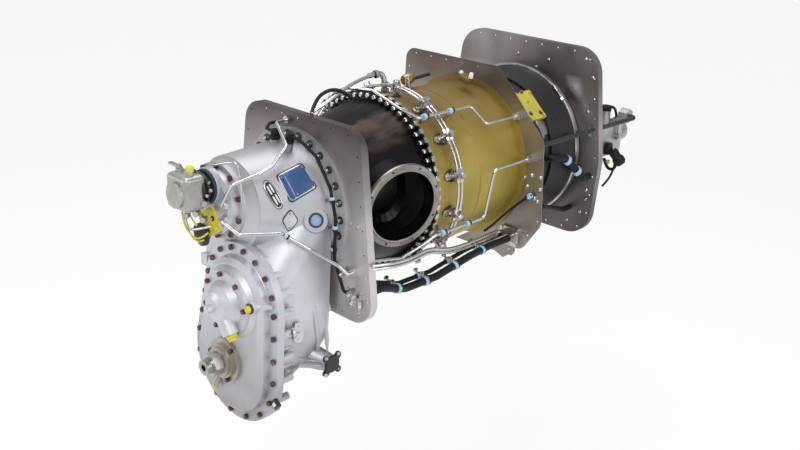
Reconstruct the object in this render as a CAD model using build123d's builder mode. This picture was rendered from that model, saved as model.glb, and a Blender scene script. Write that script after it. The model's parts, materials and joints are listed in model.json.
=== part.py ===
from build123d import *

import os
from math import acos, atan2, cos, degrees, hypot, pi, radians, sin, sqrt, tan

os.makedirs("parts", exist_ok=True)

# Turboshaft engine: a reverse-flow gas generator behind a twin-port exhaust duct, with an
# offset reduction gearbox in front and an accessory gearbox at the back.
# Millimetres. The origin is the centre of the output shaft's front end. +Y runs aft along
# the shafts, +Z is up and +X is to the right of someone who faces the engine's front.
# A station is a distance aft of the shaft tip.

# Gear teeth: one pressure angle throughout, with a module for each train
PRESSURE_ANGLE = 25.0
ADDENDUM = 0.9
DEDENDUM = 1.2
BACKLASH = 0.5
SPUR_MODULE = 6.0
BULL_TEETH = 33
IDLER_TEETH = 33
IDLER_PINION_TEETH = 20
OUTPUT_TEETH = 35
GOVERNOR_PINION_TEETH = 15
GOVERNOR_TEETH = 14
PLANET_MODULE = 4.0
SUN_TEETH = 18
PLANET_TEETH = 15
RING_TEETH = SUN_TEETH + 2 * PLANET_TEETH
PLANET_COUNT = 3
ACCESSORY_MODULE = 5.0
INPUT_TEETH = 16
STARTER_TEETH = 24
PUMP_TEETH = 26

# Shaft centres in the cross plane. The idler lies where its two centre distances meet.
ENGINE_Z = 360.0
BULL_TO_IDLER = SPUR_MODULE * (BULL_TEETH + IDLER_TEETH) / 2
IDLER_TO_OUTPUT = SPUR_MODULE * (IDLER_PINION_TEETH + OUTPUT_TEETH) / 2
IDLER_Z = (IDLER_TO_OUTPUT**2 - BULL_TO_IDLER**2 + ENGINE_Z**2) / (2 * ENGINE_Z)
IDLER_X = sqrt(IDLER_TO_OUTPUT**2 - IDLER_Z**2)
GOVERNOR_ANGLE = 121.0
GOVERNOR_REACH = SPUR_MODULE * (GOVERNOR_PINION_TEETH + GOVERNOR_TEETH) / 2
GOVERNOR_X = GOVERNOR_REACH * cos(radians(GOVERNOR_ANGLE))
GOVERNOR_Z = ENGINE_Z + GOVERNOR_REACH * sin(radians(GOVERNOR_ANGLE))
PLANET_REACH = PLANET_MODULE * (SUN_TEETH + PLANET_TEETH) / 2
STARTER_REACH = ACCESSORY_MODULE * (INPUT_TEETH + STARTER_TEETH) / 2
STARTER_Z = ENGINE_Z + STARTER_REACH
PUMP_ANGLE = -12.0
PUMP_REACH = ACCESSORY_MODULE * (INPUT_TEETH + PUMP_TEETH) / 2
PUMP_X = PUMP_REACH * cos(radians(PUMP_ANGLE))
PUMP_Z = ENGINE_Z + PUMP_REACH * sin(radians(PUMP_ANGLE))

# Running clearance of a shaft in its bearing, and of a rotor from what stands round it
RUNNING = 0.05
TIP_GAP = 1.5
BEARING_WIDTH = 16.0
BEARING_DEPTH = 13.0

# Reduction gearbox stations and walls
COVER_FACE = 69.0
SPLIT = 105.0
FLANGE_THICK = 10.0
COVER_WALL = 6.0
HOUSING_WALL = 6.0
HOUSING_BACK = 268.0
IDLER_BOLT_R = 126.0
SUMP_BOLT_R = 146.0
SUMP_Z = -14.0
SPLIT_EDGE = 12.0
SPLIT_INSET = 15.0
SPLIT_BOLT_R = 4.0
REAR_HALF_WIDTH = 146.0
REAR_SUMP_Z = 100.0
REAR_CROWN_R = 150.0
DRIVE_CASE_X = -45.0
DRIVE_CASE_Z = 392.0
DRIVE_CASE_R = 92.0
DRIVE_CASE_FACE = 96.0
DRIVE_CASE_SHIFT = 13.0
DRIVE_CASE_FLARE = 20.0
DRIVE_CASE_BACK = 112.0
DRIVE_COVER_FACE = 64.0
LEFT_CHEST_X = -166.0

# Flange between the gearbox, the front firewall and the exhaust duct
NECK_STATION = 276.0
NECK_R = 158.0
NECK_BOLT_R = 170.0
NECK_FLANGE_R = 186.0
NECK_FLANGE_THICK = 8.0
NECK_BOLTS = 26
NECK_BOLT_SHANK = 4.0
PLATE_THICK = 2.0

# Exhaust duct and its two ports
DUCT_WALL = 3.0
DUCT_FRONT_R = 158.0
DUCT_BACK_R = 212.0
PORT_STATION = 430.0
PORT_RISE = 14.0
PORT_BORE_R = 90.0
PORT_FLANGE_R = 108.0
PORT_FACE_X = 225.0
PORT_FLANGE_THICK = 7.0
PORT_BOLT_R = 101.0
PORT_BOLTS = 8
PORT_BOLT_HOLE_R = 3.5
PORT_YAW = 13.0
PORT_DROOP = 5.0

# Main flange between the exhaust duct and the gas generator
MAIN_STATION = 550.0
MAIN_BOLT_R = 225.0
MAIN_FLANGE_R = 236.0
MAIN_FLANGE_THICK = 7.0
MAIN_BOLTS = 60

# Gas generator case, nozzles and manifold
CASE_R = 215.0
CASE_WALL = 2.5
CASE_BACK = 922.0
CASE_FLANGE_R = 232.0
SEAM_STATION = 745.0
NOZZLES = 14
NOZZLE_STATION = 630.0
NOZZLE_START = 13.0
MANIFOLD_R = 238.0
MANIFOLD_TUBE = 7.0

# Compressor inlet, screen and its clamp
INLET_R = 205.0
INLET_MOUTH = 1080.0
SCREEN_BACK = 1165.0
SCREEN_FRONT_R = 213.0
SCREEN_BACK_R = 230.0
SCREEN_WALL = 2.0
CLAMP_R = 236.0
REAR_PLATE_STATION = 1210.0
TANK_R = 218.0

# Accessory gearbox
ACCESSORY_FRONT = 1216.0
ACCESSORY_SPLIT = 1300.0
ACCESSORY_BACK = 1345.0
ACCESSORY_R = 208.0
ACCESSORY_WALL = 6.0

# Firewall outlines, as seen from the front: half widths and heights of their corners
PLATE_CORNER = 60.0
PLATE_LIP = 22.0


def station(y, x=0.0, z=0.0):
    """A plane square to the shafts: local x is +X, local y is +Z and its normal points forward."""
    return Plane(origin=(x, y, z), x_dir=(1, 0, 0), z_dir=(0, -1, 0))


def meridian(x=0.0, z=0.0):
    """A plane that holds a shaft's axis: local x runs aft and local y is the radius."""
    return Plane(origin=(x, 0, z), x_dir=(0, 1, 0), z_dir=(1, 0, 0))


def turned(corners, x=0.0, z=ENGINE_Z):
    """A solid turned about the shaft axis at x, z, from its (station, radius) corners."""
    with BuildPart() as piece:
        with BuildSketch(meridian(x, z)):
            with BuildLine():
                Polyline(*corners, close=True)
            make_face()
        revolve(axis=Axis((x, 0, z), (0, 1, 0)))
    return piece.part


def ring(front, back, outer, inner, x=0.0, z=ENGINE_Z):
    """A plain ring or sleeve between two stations."""
    return turned([(front, inner), (back, inner), (back, outer), (front, outer)], x, z)


def drum(front, back, radius, x=0.0, z=ENGINE_Z):
    """A plain round bar between two stations."""
    with BuildPart() as piece:
        with BuildSketch(station(back, x, z)):
            Circle(radius)
        extrude(amount=back - front)
    return piece.part


def about(angle, x=0.0, z=ENGINE_Z):
    """The turn about a shaft that carries its +X side to an angle, counted towards +Z."""
    return Location((x, 0, z)) * Location((0, 0, 0), (0, -angle, 0)) * Location((-x, 0, -z))


def radial_plane(radius, y, angle):
    """A plane that faces straight out from the engine's axis at a station: local x runs aft."""
    out = Vector(cos(radians(angle)), 0, sin(radians(angle)))
    return Plane(origin=Vector(0, y, ENGINE_Z) + out * radius, x_dir=(0, 1, 0), z_dir=out)


def spaced(count, start=0.0, x=0.0, z=ENGINE_Z):
    """Equal turns about a shaft."""
    return [about(start + 360 * step / count, x, z) for step in range(count)]


def polar(radius, angle, x=0.0, z=ENGINE_Z):
    """A point of the cross plane at a radius and an angle from a shaft."""
    return x + radius * cos(radians(angle)), z + radius * sin(radians(angle))


def tooth_half_angle(module, teeth, radius, backlash):
    """Half the angle that an involute tooth fills at a radius, in radians."""
    pressure = radians(PRESSURE_ANGLE)
    pitch_r = module * teeth / 2
    base_r = pitch_r * cos(pressure)
    at_radius = acos(min(1.0, base_r / radius))
    at_pitch = (pi * module / 2 - backlash / 2) / (2 * pitch_r)
    return at_pitch + (tan(pressure) - pressure) - (tan(at_radius) - at_radius)


def tooth_outline(module, teeth, phase, root, tip, backlash):
    """Corners of a gear's outline, one tooth after another, with its first tooth at phase."""
    pitch_r = module * teeth / 2
    radii = [pitch_r - root * module, pitch_r, pitch_r + tip * module]
    halves = [tooth_half_angle(module, teeth, radius, backlash) for radius in radii]
    corners = []
    for tooth in range(teeth):
        middle = radians(phase) + 2 * pi * tooth / teeth
        for radius, half in zip(radii, halves):
            corners.append((radius * cos(middle - half), radius * sin(middle - half)))
        for radius, half in reversed(list(zip(radii, halves))):
            corners.append((radius * cos(middle + half), radius * sin(middle + half)))
    return corners


def spur_gear(module, teeth, phase, front, width, x, z):
    """An external spur gear whose first tooth points at phase, from +X towards +Z."""
    with BuildPart() as piece:
        with BuildSketch(station(front + width, x, z)):
            with BuildLine():
                Polyline(*tooth_outline(module, teeth, phase, DEDENDUM, ADDENDUM, BACKLASH), close=True)
            make_face()
        extrude(amount=width)
    return piece.part


def meshed(phase, teeth, direction, other_teeth):
    """The phase of a gear that meshes with one at this phase, in the given direction from it."""
    lead = (direction - phase) * teeth
    return direction + 180 - (180 - lead) / other_teeth


def bearing(front, shaft_r, x=0.0, z=ENGINE_Z):
    """A shaft's bearing as one ring with a race groove in each side."""
    inner = shaft_r + RUNNING
    outer = inner + BEARING_DEPTH
    middle = (inner + outer) / 2
    back = front + BEARING_WIDTH
    groove = 2.0
    return turned([(front, inner), (back, inner), (back, middle - groove), (back - groove, middle - groove),
                   (back - groove, middle + groove), (back, middle + groove), (back, outer), (front, outer),
                   (front, middle + groove), (front + groove, middle + groove),
                   (front + groove, middle - groove), (front, middle - groove)], x, z)


def bolt(across, head, shank_r, shank, x, y, z):
    """A hexagon bolt whose head seats at y, faces forward and has its shank aft."""
    with BuildPart() as piece:
        with BuildSketch(station(y, x, z)):
            RegularPolygon(across / 2, 6, major_radius=False)
        extrude(amount=head)
        if shank > 0:
            with BuildSketch(station(y + shank, x, z)):
                Circle(shank_r)
            extrude(amount=shank)
    return piece.part


def blade_row(front, back, hub_r, tip_r, count, thick, pitch_angle):
    """Flat blades set at an angle round the engine axis, from the hub to the tip."""
    middle = (front + back) / 2
    chord = (back - front) / cos(radians(pitch_angle))
    with BuildPart() as blade:
        with BuildSketch(Plane(origin=(hub_r, middle, ENGINE_Z), x_dir=(0, 1, 0), z_dir=(1, 0, 0))):
            Rectangle(chord - thick, thick, rotation=pitch_angle)
        extrude(amount=tip_r - hub_r)
    with BuildPart() as row:
        with Locations(*spaced(count)):
            add(blade.part)
    return row.part


def tube(points, bend, outer):
    """A bent tube: straight runs joined by tangent arcs."""
    with BuildPart() as piece:
        with BuildLine() as route:
            FilletPolyline(*points, radius=bend)
        with BuildSketch(Plane(origin=route.line @ 0, z_dir=route.line % 0)):
            Circle(outer / 2)
        sweep()
    return piece.part


def rod(start, end, radius, end_radius=None):
    """A straight round bar or cone between two points."""
    start, end = Vector(*start), Vector(*end)
    along = Plane(origin=start, z_dir=end - start)
    with BuildPart() as piece:
        with BuildSketch(along):
            Circle(radius)
        if end_radius is None:
            extrude(amount=(end - start).length)
        else:
            with BuildSketch(along.offset((end - start).length)):
                Circle(end_radius)
            loft()
    return piece.part


def hex_rod(start, end, across):
    """A straight hexagon bar between two points."""
    start, end = Vector(*start), Vector(*end)
    with BuildPart() as piece:
        with BuildSketch(Plane(origin=start, z_dir=end - start)):
            RegularPolygon(across / 2, 6, major_radius=False)
        extrude(amount=(end - start).length)
    return piece.part


def block(low, high, corner=0.0):
    """A box between two corners, with its edges rounded."""
    size = [top - bottom for bottom, top in zip(low, high)]
    with BuildPart() as piece:
        with BuildSketch(Plane(origin=((low[0] + high[0]) / 2, low[1], (low[2] + high[2]) / 2),
                               x_dir=(1, 0, 0), z_dir=(0, 1, 0))):
            Rectangle(size[0], size[2])
        extrude(amount=size[1])
        if corner > 0:
            fillet(piece.edges(), corner)
    return piece.part


def finish(name, piece):
    """Label a finished piece and write its file."""
    piece.part.label = name
    export_step(piece.part, f"parts/{name}.step")


# Reduction gear train: sun on the power turbine shaft, three planets, bull gear, idler and output
SUN_FRONT = 240.0
PLANET_WIDTH = 20.0
BULL_FRONT = 197.0
BULL_WIDTH = 22.0
OUTPUT_FRONT = 114.0
OUTPUT_WIDTH = 26.0
GOVERNOR_FRONT = 120.0
GOVERNOR_WIDTH = 14.0
SHAFT_R = 22.0
CARRIER_SHAFT_R = 18.0
SUN_SHAFT_R = 14.0

bull_phase = 0.0
down_to_idler = degrees(atan2(IDLER_Z - ENGINE_Z, IDLER_X))
idler_phase = meshed(bull_phase, BULL_TEETH, down_to_idler, IDLER_TEETH)
down_to_output = degrees(atan2(-IDLER_Z, -IDLER_X))
output_phase = meshed(0.0, IDLER_PINION_TEETH, down_to_output, OUTPUT_TEETH)
governor_phase = meshed(0.0, GOVERNOR_PINION_TEETH, GOVERNOR_ANGLE, GOVERNOR_TEETH)
sun_phase = 0.0
planet_angles = [90.0 + 360.0 * planet / PLANET_COUNT for planet in range(PLANET_COUNT)]
planet_phases = [meshed(sun_phase, SUN_TEETH, angle, PLANET_TEETH) for angle in planet_angles]
ring_space_phase = planet_angles[0] - (planet_angles[0] - planet_phases[0]) * PLANET_TEETH / RING_TEETH

# Output gearshaft: gear, shaft to the front face and the plain end that takes the drive
OUTPUT_TIP_R = 19.0
OUTPUT_TIP_LENGTH = 14.0
OUTPUT_BORE_R = 11.0
OUTPUT_BORE_DEPTH = 60.0
SHAFT_BACK = HOUSING_BACK - HOUSING_WALL - 2.0
output_gear = spur_gear(SPUR_MODULE, OUTPUT_TEETH, output_phase, OUTPUT_FRONT, OUTPUT_WIDTH, 0, 0)
output_shaft_bar = turned([(0, OUTPUT_BORE_R), (0, OUTPUT_TIP_R), (OUTPUT_TIP_LENGTH, OUTPUT_TIP_R),
                           (OUTPUT_TIP_LENGTH, SHAFT_R), (SHAFT_BACK, SHAFT_R), (SHAFT_BACK, 0),
                           (OUTPUT_BORE_DEPTH, 0), (OUTPUT_BORE_DEPTH, OUTPUT_BORE_R)], 0, 0)
LIGHTENING_R = 15.0
LIGHTENING_HOLES = 6
with BuildPart() as output_gearshaft:
    add(output_gear)
    with BuildSketch(station(OUTPUT_FRONT)):
        with PolarLocations((SHAFT_R + SPUR_MODULE * OUTPUT_TEETH / 2) / 2 + 4, LIGHTENING_HOLES):
            Circle(LIGHTENING_R)
    extrude(amount=-OUTPUT_WIDTH, mode=Mode.SUBTRACT)
    add(output_shaft_bar)
finish("output_gearshaft", output_gearshaft)

# Hexagon coupling nut on the output shaft, in front of the seal
NUT_ACROSS = 50.0
NUT_FRONT = 17.0
NUT_BACK = 42.0
with BuildPart() as output_nut:
    with BuildSketch(station(NUT_BACK)):
        RegularPolygon(NUT_ACROSS / 2, 6, major_radius=False)
        Circle(SHAFT_R, mode=Mode.SUBTRACT)
    extrude(amount=NUT_BACK - NUT_FRONT)
finish("output_nut", output_nut)

# Idler gearshaft: a large gear from the bull gear and a pinion for the output gear
idler_wheel = spur_gear(SPUR_MODULE, IDLER_TEETH, idler_phase, BULL_FRONT, BULL_WIDTH, IDLER_X, IDLER_Z)
idler_pinion = spur_gear(SPUR_MODULE, IDLER_PINION_TEETH, 0.0, OUTPUT_FRONT, OUTPUT_WIDTH,
                         IDLER_X, IDLER_Z)
idler_bar = drum(COVER_FACE + 12, SHAFT_BACK, SHAFT_R, IDLER_X, IDLER_Z)
with BuildPart() as idler_gearshaft:
    add(idler_wheel)
    with BuildSketch(station(BULL_FRONT, IDLER_X, IDLER_Z)):
        with PolarLocations((SHAFT_R + SPUR_MODULE * IDLER_TEETH / 2) / 2 + 4, LIGHTENING_HOLES):
            Circle(LIGHTENING_R)
    extrude(amount=-BULL_WIDTH, mode=Mode.SUBTRACT)
    add(idler_pinion)
    add(idler_bar)
finish("idler_gearshaft", idler_gearshaft)

# Planet carrier: a spider with one pin to each planet, the bull gear, and the governor's pinion
CARRIER_DISC_FRONT = SUN_FRONT - 14.0
CARRIER_DISC_BACK = SUN_FRONT - 3.0
CARRIER_R = PLANET_REACH + 18.0
CARRIER_NOSE = DRIVE_CASE_FACE + 2.0
PLANET_PIN_R = 10.0
bull_gear = spur_gear(SPUR_MODULE, BULL_TEETH, bull_phase, BULL_FRONT, BULL_WIDTH, 0, ENGINE_Z)
governor_pinion = spur_gear(SPUR_MODULE, GOVERNOR_PINION_TEETH, 0.0, GOVERNOR_FRONT, GOVERNOR_WIDTH,
                            0, ENGINE_Z)
carrier_shaft = drum(CARRIER_NOSE, CARRIER_DISC_BACK, CARRIER_SHAFT_R)
carrier_disc = drum(CARRIER_DISC_FRONT, CARRIER_DISC_BACK, CARRIER_R)
planet_pins = [drum(CARRIER_DISC_BACK - 1, SUN_FRONT + PLANET_WIDTH + 4, PLANET_PIN_R,
                    *polar(PLANET_REACH, angle)) for angle in planet_angles]
with BuildPart() as planet_carrier:
    add(bull_gear)
    with BuildSketch(station(BULL_FRONT, 0, ENGINE_Z)):
        with PolarLocations((CARRIER_SHAFT_R + SPUR_MODULE * BULL_TEETH / 2) / 2 + 4, LIGHTENING_HOLES):
            Circle(LIGHTENING_R)
    extrude(amount=-BULL_WIDTH, mode=Mode.SUBTRACT)
    add(governor_pinion)
    add(carrier_shaft)
    add(carrier_disc)
    add(planet_pins)
finish("planet_carrier", planet_carrier)

# Planet gears, each running on its own pin
for number, (angle, phase) in enumerate(zip(planet_angles, planet_phases), start=1):
    planet_x, planet_z = polar(PLANET_REACH, angle)
    planet_blank = spur_gear(PLANET_MODULE, PLANET_TEETH, phase, SUN_FRONT, PLANET_WIDTH,
                             planet_x, planet_z)
    with BuildPart() as planet_gear:
        add(planet_blank)
        with BuildSketch(station(SUN_FRONT, planet_x, planet_z)):
            Circle(PLANET_PIN_R + RUNNING)
        extrude(amount=-PLANET_WIDTH, mode=Mode.SUBTRACT)
    finish(f"planet_gear_{number}", planet_gear)

# Ring gear, fixed in the gearbox neck
RING_OUTER_R = PLANET_MODULE * RING_TEETH / 2 + 16.0
RING_SEAT_WIDTH = 8.0
with BuildPart() as ring_gear:
    with BuildSketch(station(SUN_FRONT + PLANET_WIDTH, 0, ENGINE_Z)):
        Circle(RING_OUTER_R)
        with BuildLine():
            Polyline(*tooth_outline(PLANET_MODULE, RING_TEETH, ring_space_phase, ADDENDUM, DEDENDUM,
                                    -BACKLASH), close=True)
        make_face(mode=Mode.SUBTRACT)
    extrude(amount=PLANET_WIDTH)
finish("ring_gear", ring_gear)

# Gearbox outlines: two circles, the idler's above and the sump's below, with tangents between them


def egg_corners(top_x, top_z, top_r, low_x, low_z, low_r):
    """Tangent points and arc middles of the outline round two circles, clockwise from the upper right."""
    reach = hypot(top_x - low_x, top_z - low_z)
    up_x, up_z = (top_x - low_x) / reach, (top_z - low_z) / reach
    rise = (low_r - top_r) / reach
    across = sqrt(1 - rise**2)
    right = (rise * up_x + across * up_z, rise * up_z - across * up_x)
    left = (rise * up_x - across * up_z, rise * up_z + across * up_x)
    top = [(top_x + top_r * way[0], top_z + top_r * way[1]) for way in (left, (up_x, up_z), right)]
    low = [(low_x + low_r * way[0], low_z + low_r * way[1]) for way in (right, (-up_x, -up_z), left)]
    return top, low


def egg_face(y, top_x, top_z, top_r, low_x, low_z, low_r):
    """The face inside that outline at a station."""
    top, low = egg_corners(top_x, top_z, top_r, low_x, low_z, low_r)
    with BuildSketch(station(y)) as face:
        with BuildLine():
            ThreePointArc(*top)
            Line(top[2], low[0])
            ThreePointArc(*low)
            Line(low[2], top[0])
        make_face()
    return face.sketch


def split_face(y, grow):
    """The split line's outline, grown from its bolt line."""
    return egg_face(y, IDLER_X, IDLER_Z, IDLER_BOLT_R + grow, 0, SUMP_Z, SUMP_BOLT_R + grow)


def slab(face, thick):
    """A face given a thickness: forward where it is positive, aft where it is negative."""
    with BuildPart() as piece:
        extrude(to_extrude=face, amount=thick)
    return piece.part


def lower_body(front, back, shrink):
    """The gearbox's lower half between the split line and its back wall, shrunk by a wall."""
    with BuildPart() as body:
        add(split_face(front, -SPLIT_INSET - shrink))
        add(egg_face(back, 0, ENGINE_Z, REAR_CROWN_R - shrink, 0, REAR_SUMP_Z, REAR_HALF_WIDTH - shrink))
        loft()
    return body.part


def neck_circle(y, shrink):
    """Centre and radius of the gearbox's neck at a station."""
    share = (y - DRIVE_CASE_BACK) / (NECK_STATION - DRIVE_CASE_BACK)
    front_x = DRIVE_CASE_X + DRIVE_CASE_SHIFT
    front_z = DRIVE_CASE_Z - DRIVE_CASE_SHIFT / 2
    front_r = DRIVE_CASE_R + DRIVE_CASE_FLARE
    return (front_x * (1 - share), front_z + (ENGINE_Z - front_z) * share,
            front_r + (NECK_R - front_r) * share - shrink)


def neck_body(front, back, shrink):
    """The gearbox's leaning neck between two stations."""
    with BuildPart() as body:
        for y in (front, back):
            x, z, radius = neck_circle(y, shrink)
            with BuildSketch(station(y, x, z)):
                Circle(radius)
        loft()
    return body.part


def split_bolt_places():
    """Bolt centres along the split line: round the top, down the sides and round the sump."""
    top, low = egg_corners(IDLER_X, IDLER_Z, IDLER_BOLT_R, 0, SUMP_Z, SUMP_BOLT_R)
    places = []
    for centre, radius, start, end, steps in (((IDLER_X, IDLER_Z), IDLER_BOLT_R, top[2], top[0], 8),
                                              ((0, SUMP_Z), SUMP_BOLT_R, low[2], low[0], 8)):
        first = degrees(atan2(start[1] - centre[1], start[0] - centre[0]))
        last = degrees(atan2(end[1] - centre[1], end[0] - centre[0]))
        sweep_angle = (last - first) % 360
        places += [polar(radius, first + sweep_angle * step / steps, *centre) for step in range(steps + 1)]
    for one, other in ((top[2], low[0]), (top[0], low[2])):
        for share in (0.33, 0.67):
            places.append((one[0] + (other[0] - one[0]) * share, one[1] + (other[1] - one[1]) * share))
    return places


split_bolts = split_bolt_places()

# Rear housing: neck, lower body and left chest as one hollow casting
BOSS_LENGTH = 44.0
BOSS_R = 9.5
SHAFT_SEAT_R = SHAFT_R + RUNNING + BEARING_DEPTH
CARRIER_SEAT_R = CARRIER_SHAFT_R + RUNNING + BEARING_DEPTH
SEAT_WALL = 7.0
WEB_STATION = 150.0
CARRIER_FRONT_BEARING = CARRIER_NOSE + 2.0
WEB_THICK = 7.0
MOUNT_PAD_X = 162.0
MOUNT_PAD_Y = 264.0
MOUNT_PAD_Z = -19.0
MOUNT_PAD_THICK = 7.0
MOUNT_SPACING = 40.0
MOUNT_BOLT_R = 4.0
MOUNT_ARM_R = 22.0
MOUNT_ROOT_X = 70.0
MOUNT_ROOT_Y = 222.0
MOUNT_ROOT_R = 40.0
CHEST_TOP = 322.0
CHEST_BOTTOM = 112.0
CHEST_FRONT = 128.0
CHEST_BACK = 246.0
CHEST_CORNER = 16.0

SENSOR_ROOT = (22.0, 232.0, 478.0)
SENSOR_SEAT = (36.0, 232.0, 526.0)
CONNECTOR_ROOT = (-22.0, 238.0, 470.0)
CONNECTOR_SEAT = (-22.0, 238.0, 520.0)
SENSOR_BOSS_R = 12.0

neck_outside = neck_body(DRIVE_CASE_BACK, NECK_STATION, 0)
neck_inside = neck_body(DRIVE_CASE_BACK - 1, NECK_STATION + 1, HOUSING_WALL)
lower_outside = lower_body(SPLIT, HOUSING_BACK, 0)
lower_inside = lower_body(SPLIT, HOUSING_BACK - HOUSING_WALL, HOUSING_WALL)
chest_outside = block((LEFT_CHEST_X, CHEST_FRONT, CHEST_BOTTOM), (0, CHEST_BACK, CHEST_TOP), CHEST_CORNER)
chest_inside = block((LEFT_CHEST_X + HOUSING_WALL, CHEST_FRONT + HOUSING_WALL, CHEST_BOTTOM + HOUSING_WALL),
                     (-HOUSING_WALL, CHEST_BACK - HOUSING_WALL, CHEST_TOP - HOUSING_WALL),
                     CHEST_CORNER - HOUSING_WALL)
split_flange = slab(split_face(SPLIT, SPLIT_EDGE), -FLANGE_THICK)
web_x, web_z, web_r = neck_circle(WEB_STATION, HOUSING_WALL / 2)
ring_x, ring_z, ring_r = neck_circle(SUN_FRONT, HOUSING_WALL / 2)
with BuildPart() as gearbox_rear_housing:
    add(lower_outside)
    add(neck_outside)
    add(chest_outside)
    add(split_flange)
    add(rod(SENSOR_ROOT, SENSOR_SEAT, SENSOR_BOSS_R))
    add(rod(CONNECTOR_ROOT, CONNECTOR_SEAT, SENSOR_BOSS_R))
    for x, z in split_bolts:
        with BuildSketch(station(SPLIT, x, z)):
            Circle(BOSS_R)
        extrude(amount=-BOSS_LENGTH)
    with BuildSketch(station(DRIVE_CASE_FACE, DRIVE_CASE_X, DRIVE_CASE_Z)):
        Circle(DRIVE_CASE_R)
    extrude(amount=DRIVE_CASE_FACE - DRIVE_CASE_BACK - 4)
    with BuildSketch(station(NECK_STATION, 0, ENGINE_Z)):
        Circle(NECK_FLANGE_R)
    extrude(amount=-NECK_FLANGE_THICK)
    for side in (1, -1):
        root = Plane(origin=(0, MOUNT_ROOT_Y, 0), x_dir=(0, 1, 0), z_dir=(side, 0, 0))
        pad = Plane(origin=(0, MOUNT_PAD_Y, MOUNT_PAD_Z), x_dir=(0, 1, 0), z_dir=(side, 0, 0))
        with BuildSketch(root.offset(MOUNT_ROOT_X)):
            Circle(MOUNT_ROOT_R)
        with BuildSketch(pad.offset(MOUNT_PAD_X)):
            Circle(MOUNT_ARM_R)
        loft()
    add(lower_inside, mode=Mode.SUBTRACT)
    add(neck_inside, mode=Mode.SUBTRACT)
    add(chest_inside, mode=Mode.SUBTRACT)
    with BuildSketch(station(DRIVE_CASE_FACE, DRIVE_CASE_X, DRIVE_CASE_Z)):
        Circle(DRIVE_CASE_R - HOUSING_WALL - 8)
    extrude(amount=DRIVE_CASE_FACE - DRIVE_CASE_BACK - 8, mode=Mode.SUBTRACT)
    add(drum(CARRIER_NOSE, CARRIER_FRONT_BEARING + BEARING_WIDTH, CARRIER_SEAT_R + SEAT_WALL - 2))
    add(drum(CARRIER_NOSE - 1, CARRIER_FRONT_BEARING + BEARING_WIDTH, CARRIER_SEAT_R), mode=Mode.SUBTRACT)
    with BuildSketch(station(NECK_STATION, 0, ENGINE_Z)):
        Circle(NECK_R - HOUSING_WALL)
    extrude(amount=-NECK_FLANGE_THICK, mode=Mode.SUBTRACT)
    with BuildSketch(station(WEB_STATION, web_x, web_z)):
        Circle(web_r)
    extrude(amount=-WEB_THICK)
    with BuildSketch(station(WEB_STATION, 0, ENGINE_Z)):
        Circle(CARRIER_SEAT_R + SEAT_WALL)
    extrude(amount=-BEARING_WIDTH)
    with BuildSketch(station(SUN_FRONT, ring_x, ring_z)):
        Circle(ring_r)
        with Locations((-ring_x, ENGINE_Z - ring_z)):
            Circle(RING_OUTER_R, mode=Mode.SUBTRACT)
    extrude(amount=-RING_SEAT_WIDTH)
    for seat_x, seat_z in ((0, 0), (IDLER_X, IDLER_Z)):
        with BuildSketch(station(HOUSING_BACK - HOUSING_WALL, seat_x, seat_z)):
            Circle(SHAFT_SEAT_R + SEAT_WALL)
        extrude(amount=BEARING_WIDTH)
    with BuildSketch(station(WEB_STATION, 0, ENGINE_Z)):
        Circle(CARRIER_SEAT_R)
    extrude(amount=-BEARING_WIDTH, mode=Mode.SUBTRACT)
    for seat_x, seat_z in ((0, 0), (IDLER_X, IDLER_Z)):
        with BuildSketch(station(HOUSING_BACK - HOUSING_WALL, seat_x, seat_z)):
            Circle(SHAFT_SEAT_R)
        extrude(amount=BEARING_WIDTH, mode=Mode.SUBTRACT)
    for x, z in split_bolts:
        with BuildSketch(station(SPLIT, x, z)):
            Circle(SPLIT_BOLT_R)
        extrude(amount=-BOSS_LENGTH / 2, mode=Mode.SUBTRACT)
    with BuildSketch(station(NECK_STATION, 0, ENGINE_Z)):
        with PolarLocations(NECK_BOLT_R, NECK_BOLTS):
            Circle(NECK_BOLT_SHANK)
    extrude(amount=-NECK_FLANGE_THICK, mode=Mode.SUBTRACT)
finish("gearbox_rear_housing", gearbox_rear_housing)

# Front cover of the gearbox: a flanged dish with a raised crown round the idler's axis
COVER_SHOULDER = 10.0
COVER_TAPER = 5.0
COVER_ROUND = 17.0
CROWN_BASE_R = 110.0
CROWN_R = 82.0
CROWN_FACE = 57.0
SHAFT_HOLE_GAP = 4.0
PLUG_CAP = (96.0, 72.0, 173.0)
PLUG_TAIL = (146.0, 92.0, 185.0)


def dish(front, shrink):
    """The cover's form between the split and its front face, shrunk by a wall."""
    inset = SPLIT_INSET + shrink
    with BuildPart() as piece:
        add(split_face(SPLIT, -inset))
        add(split_face(front + COVER_SHOULDER, -inset - COVER_TAPER))
        add(split_face(front, -inset - COVER_ROUND))
        loft(ruled=True)
    return piece.part


def cone(front, front_r, back, back_r, x=0.0, z=ENGINE_Z):
    """A solid cone between two stations."""
    return turned([(front, 0), (back, 0), (back, back_r), (front, front_r)], x, z)


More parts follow.
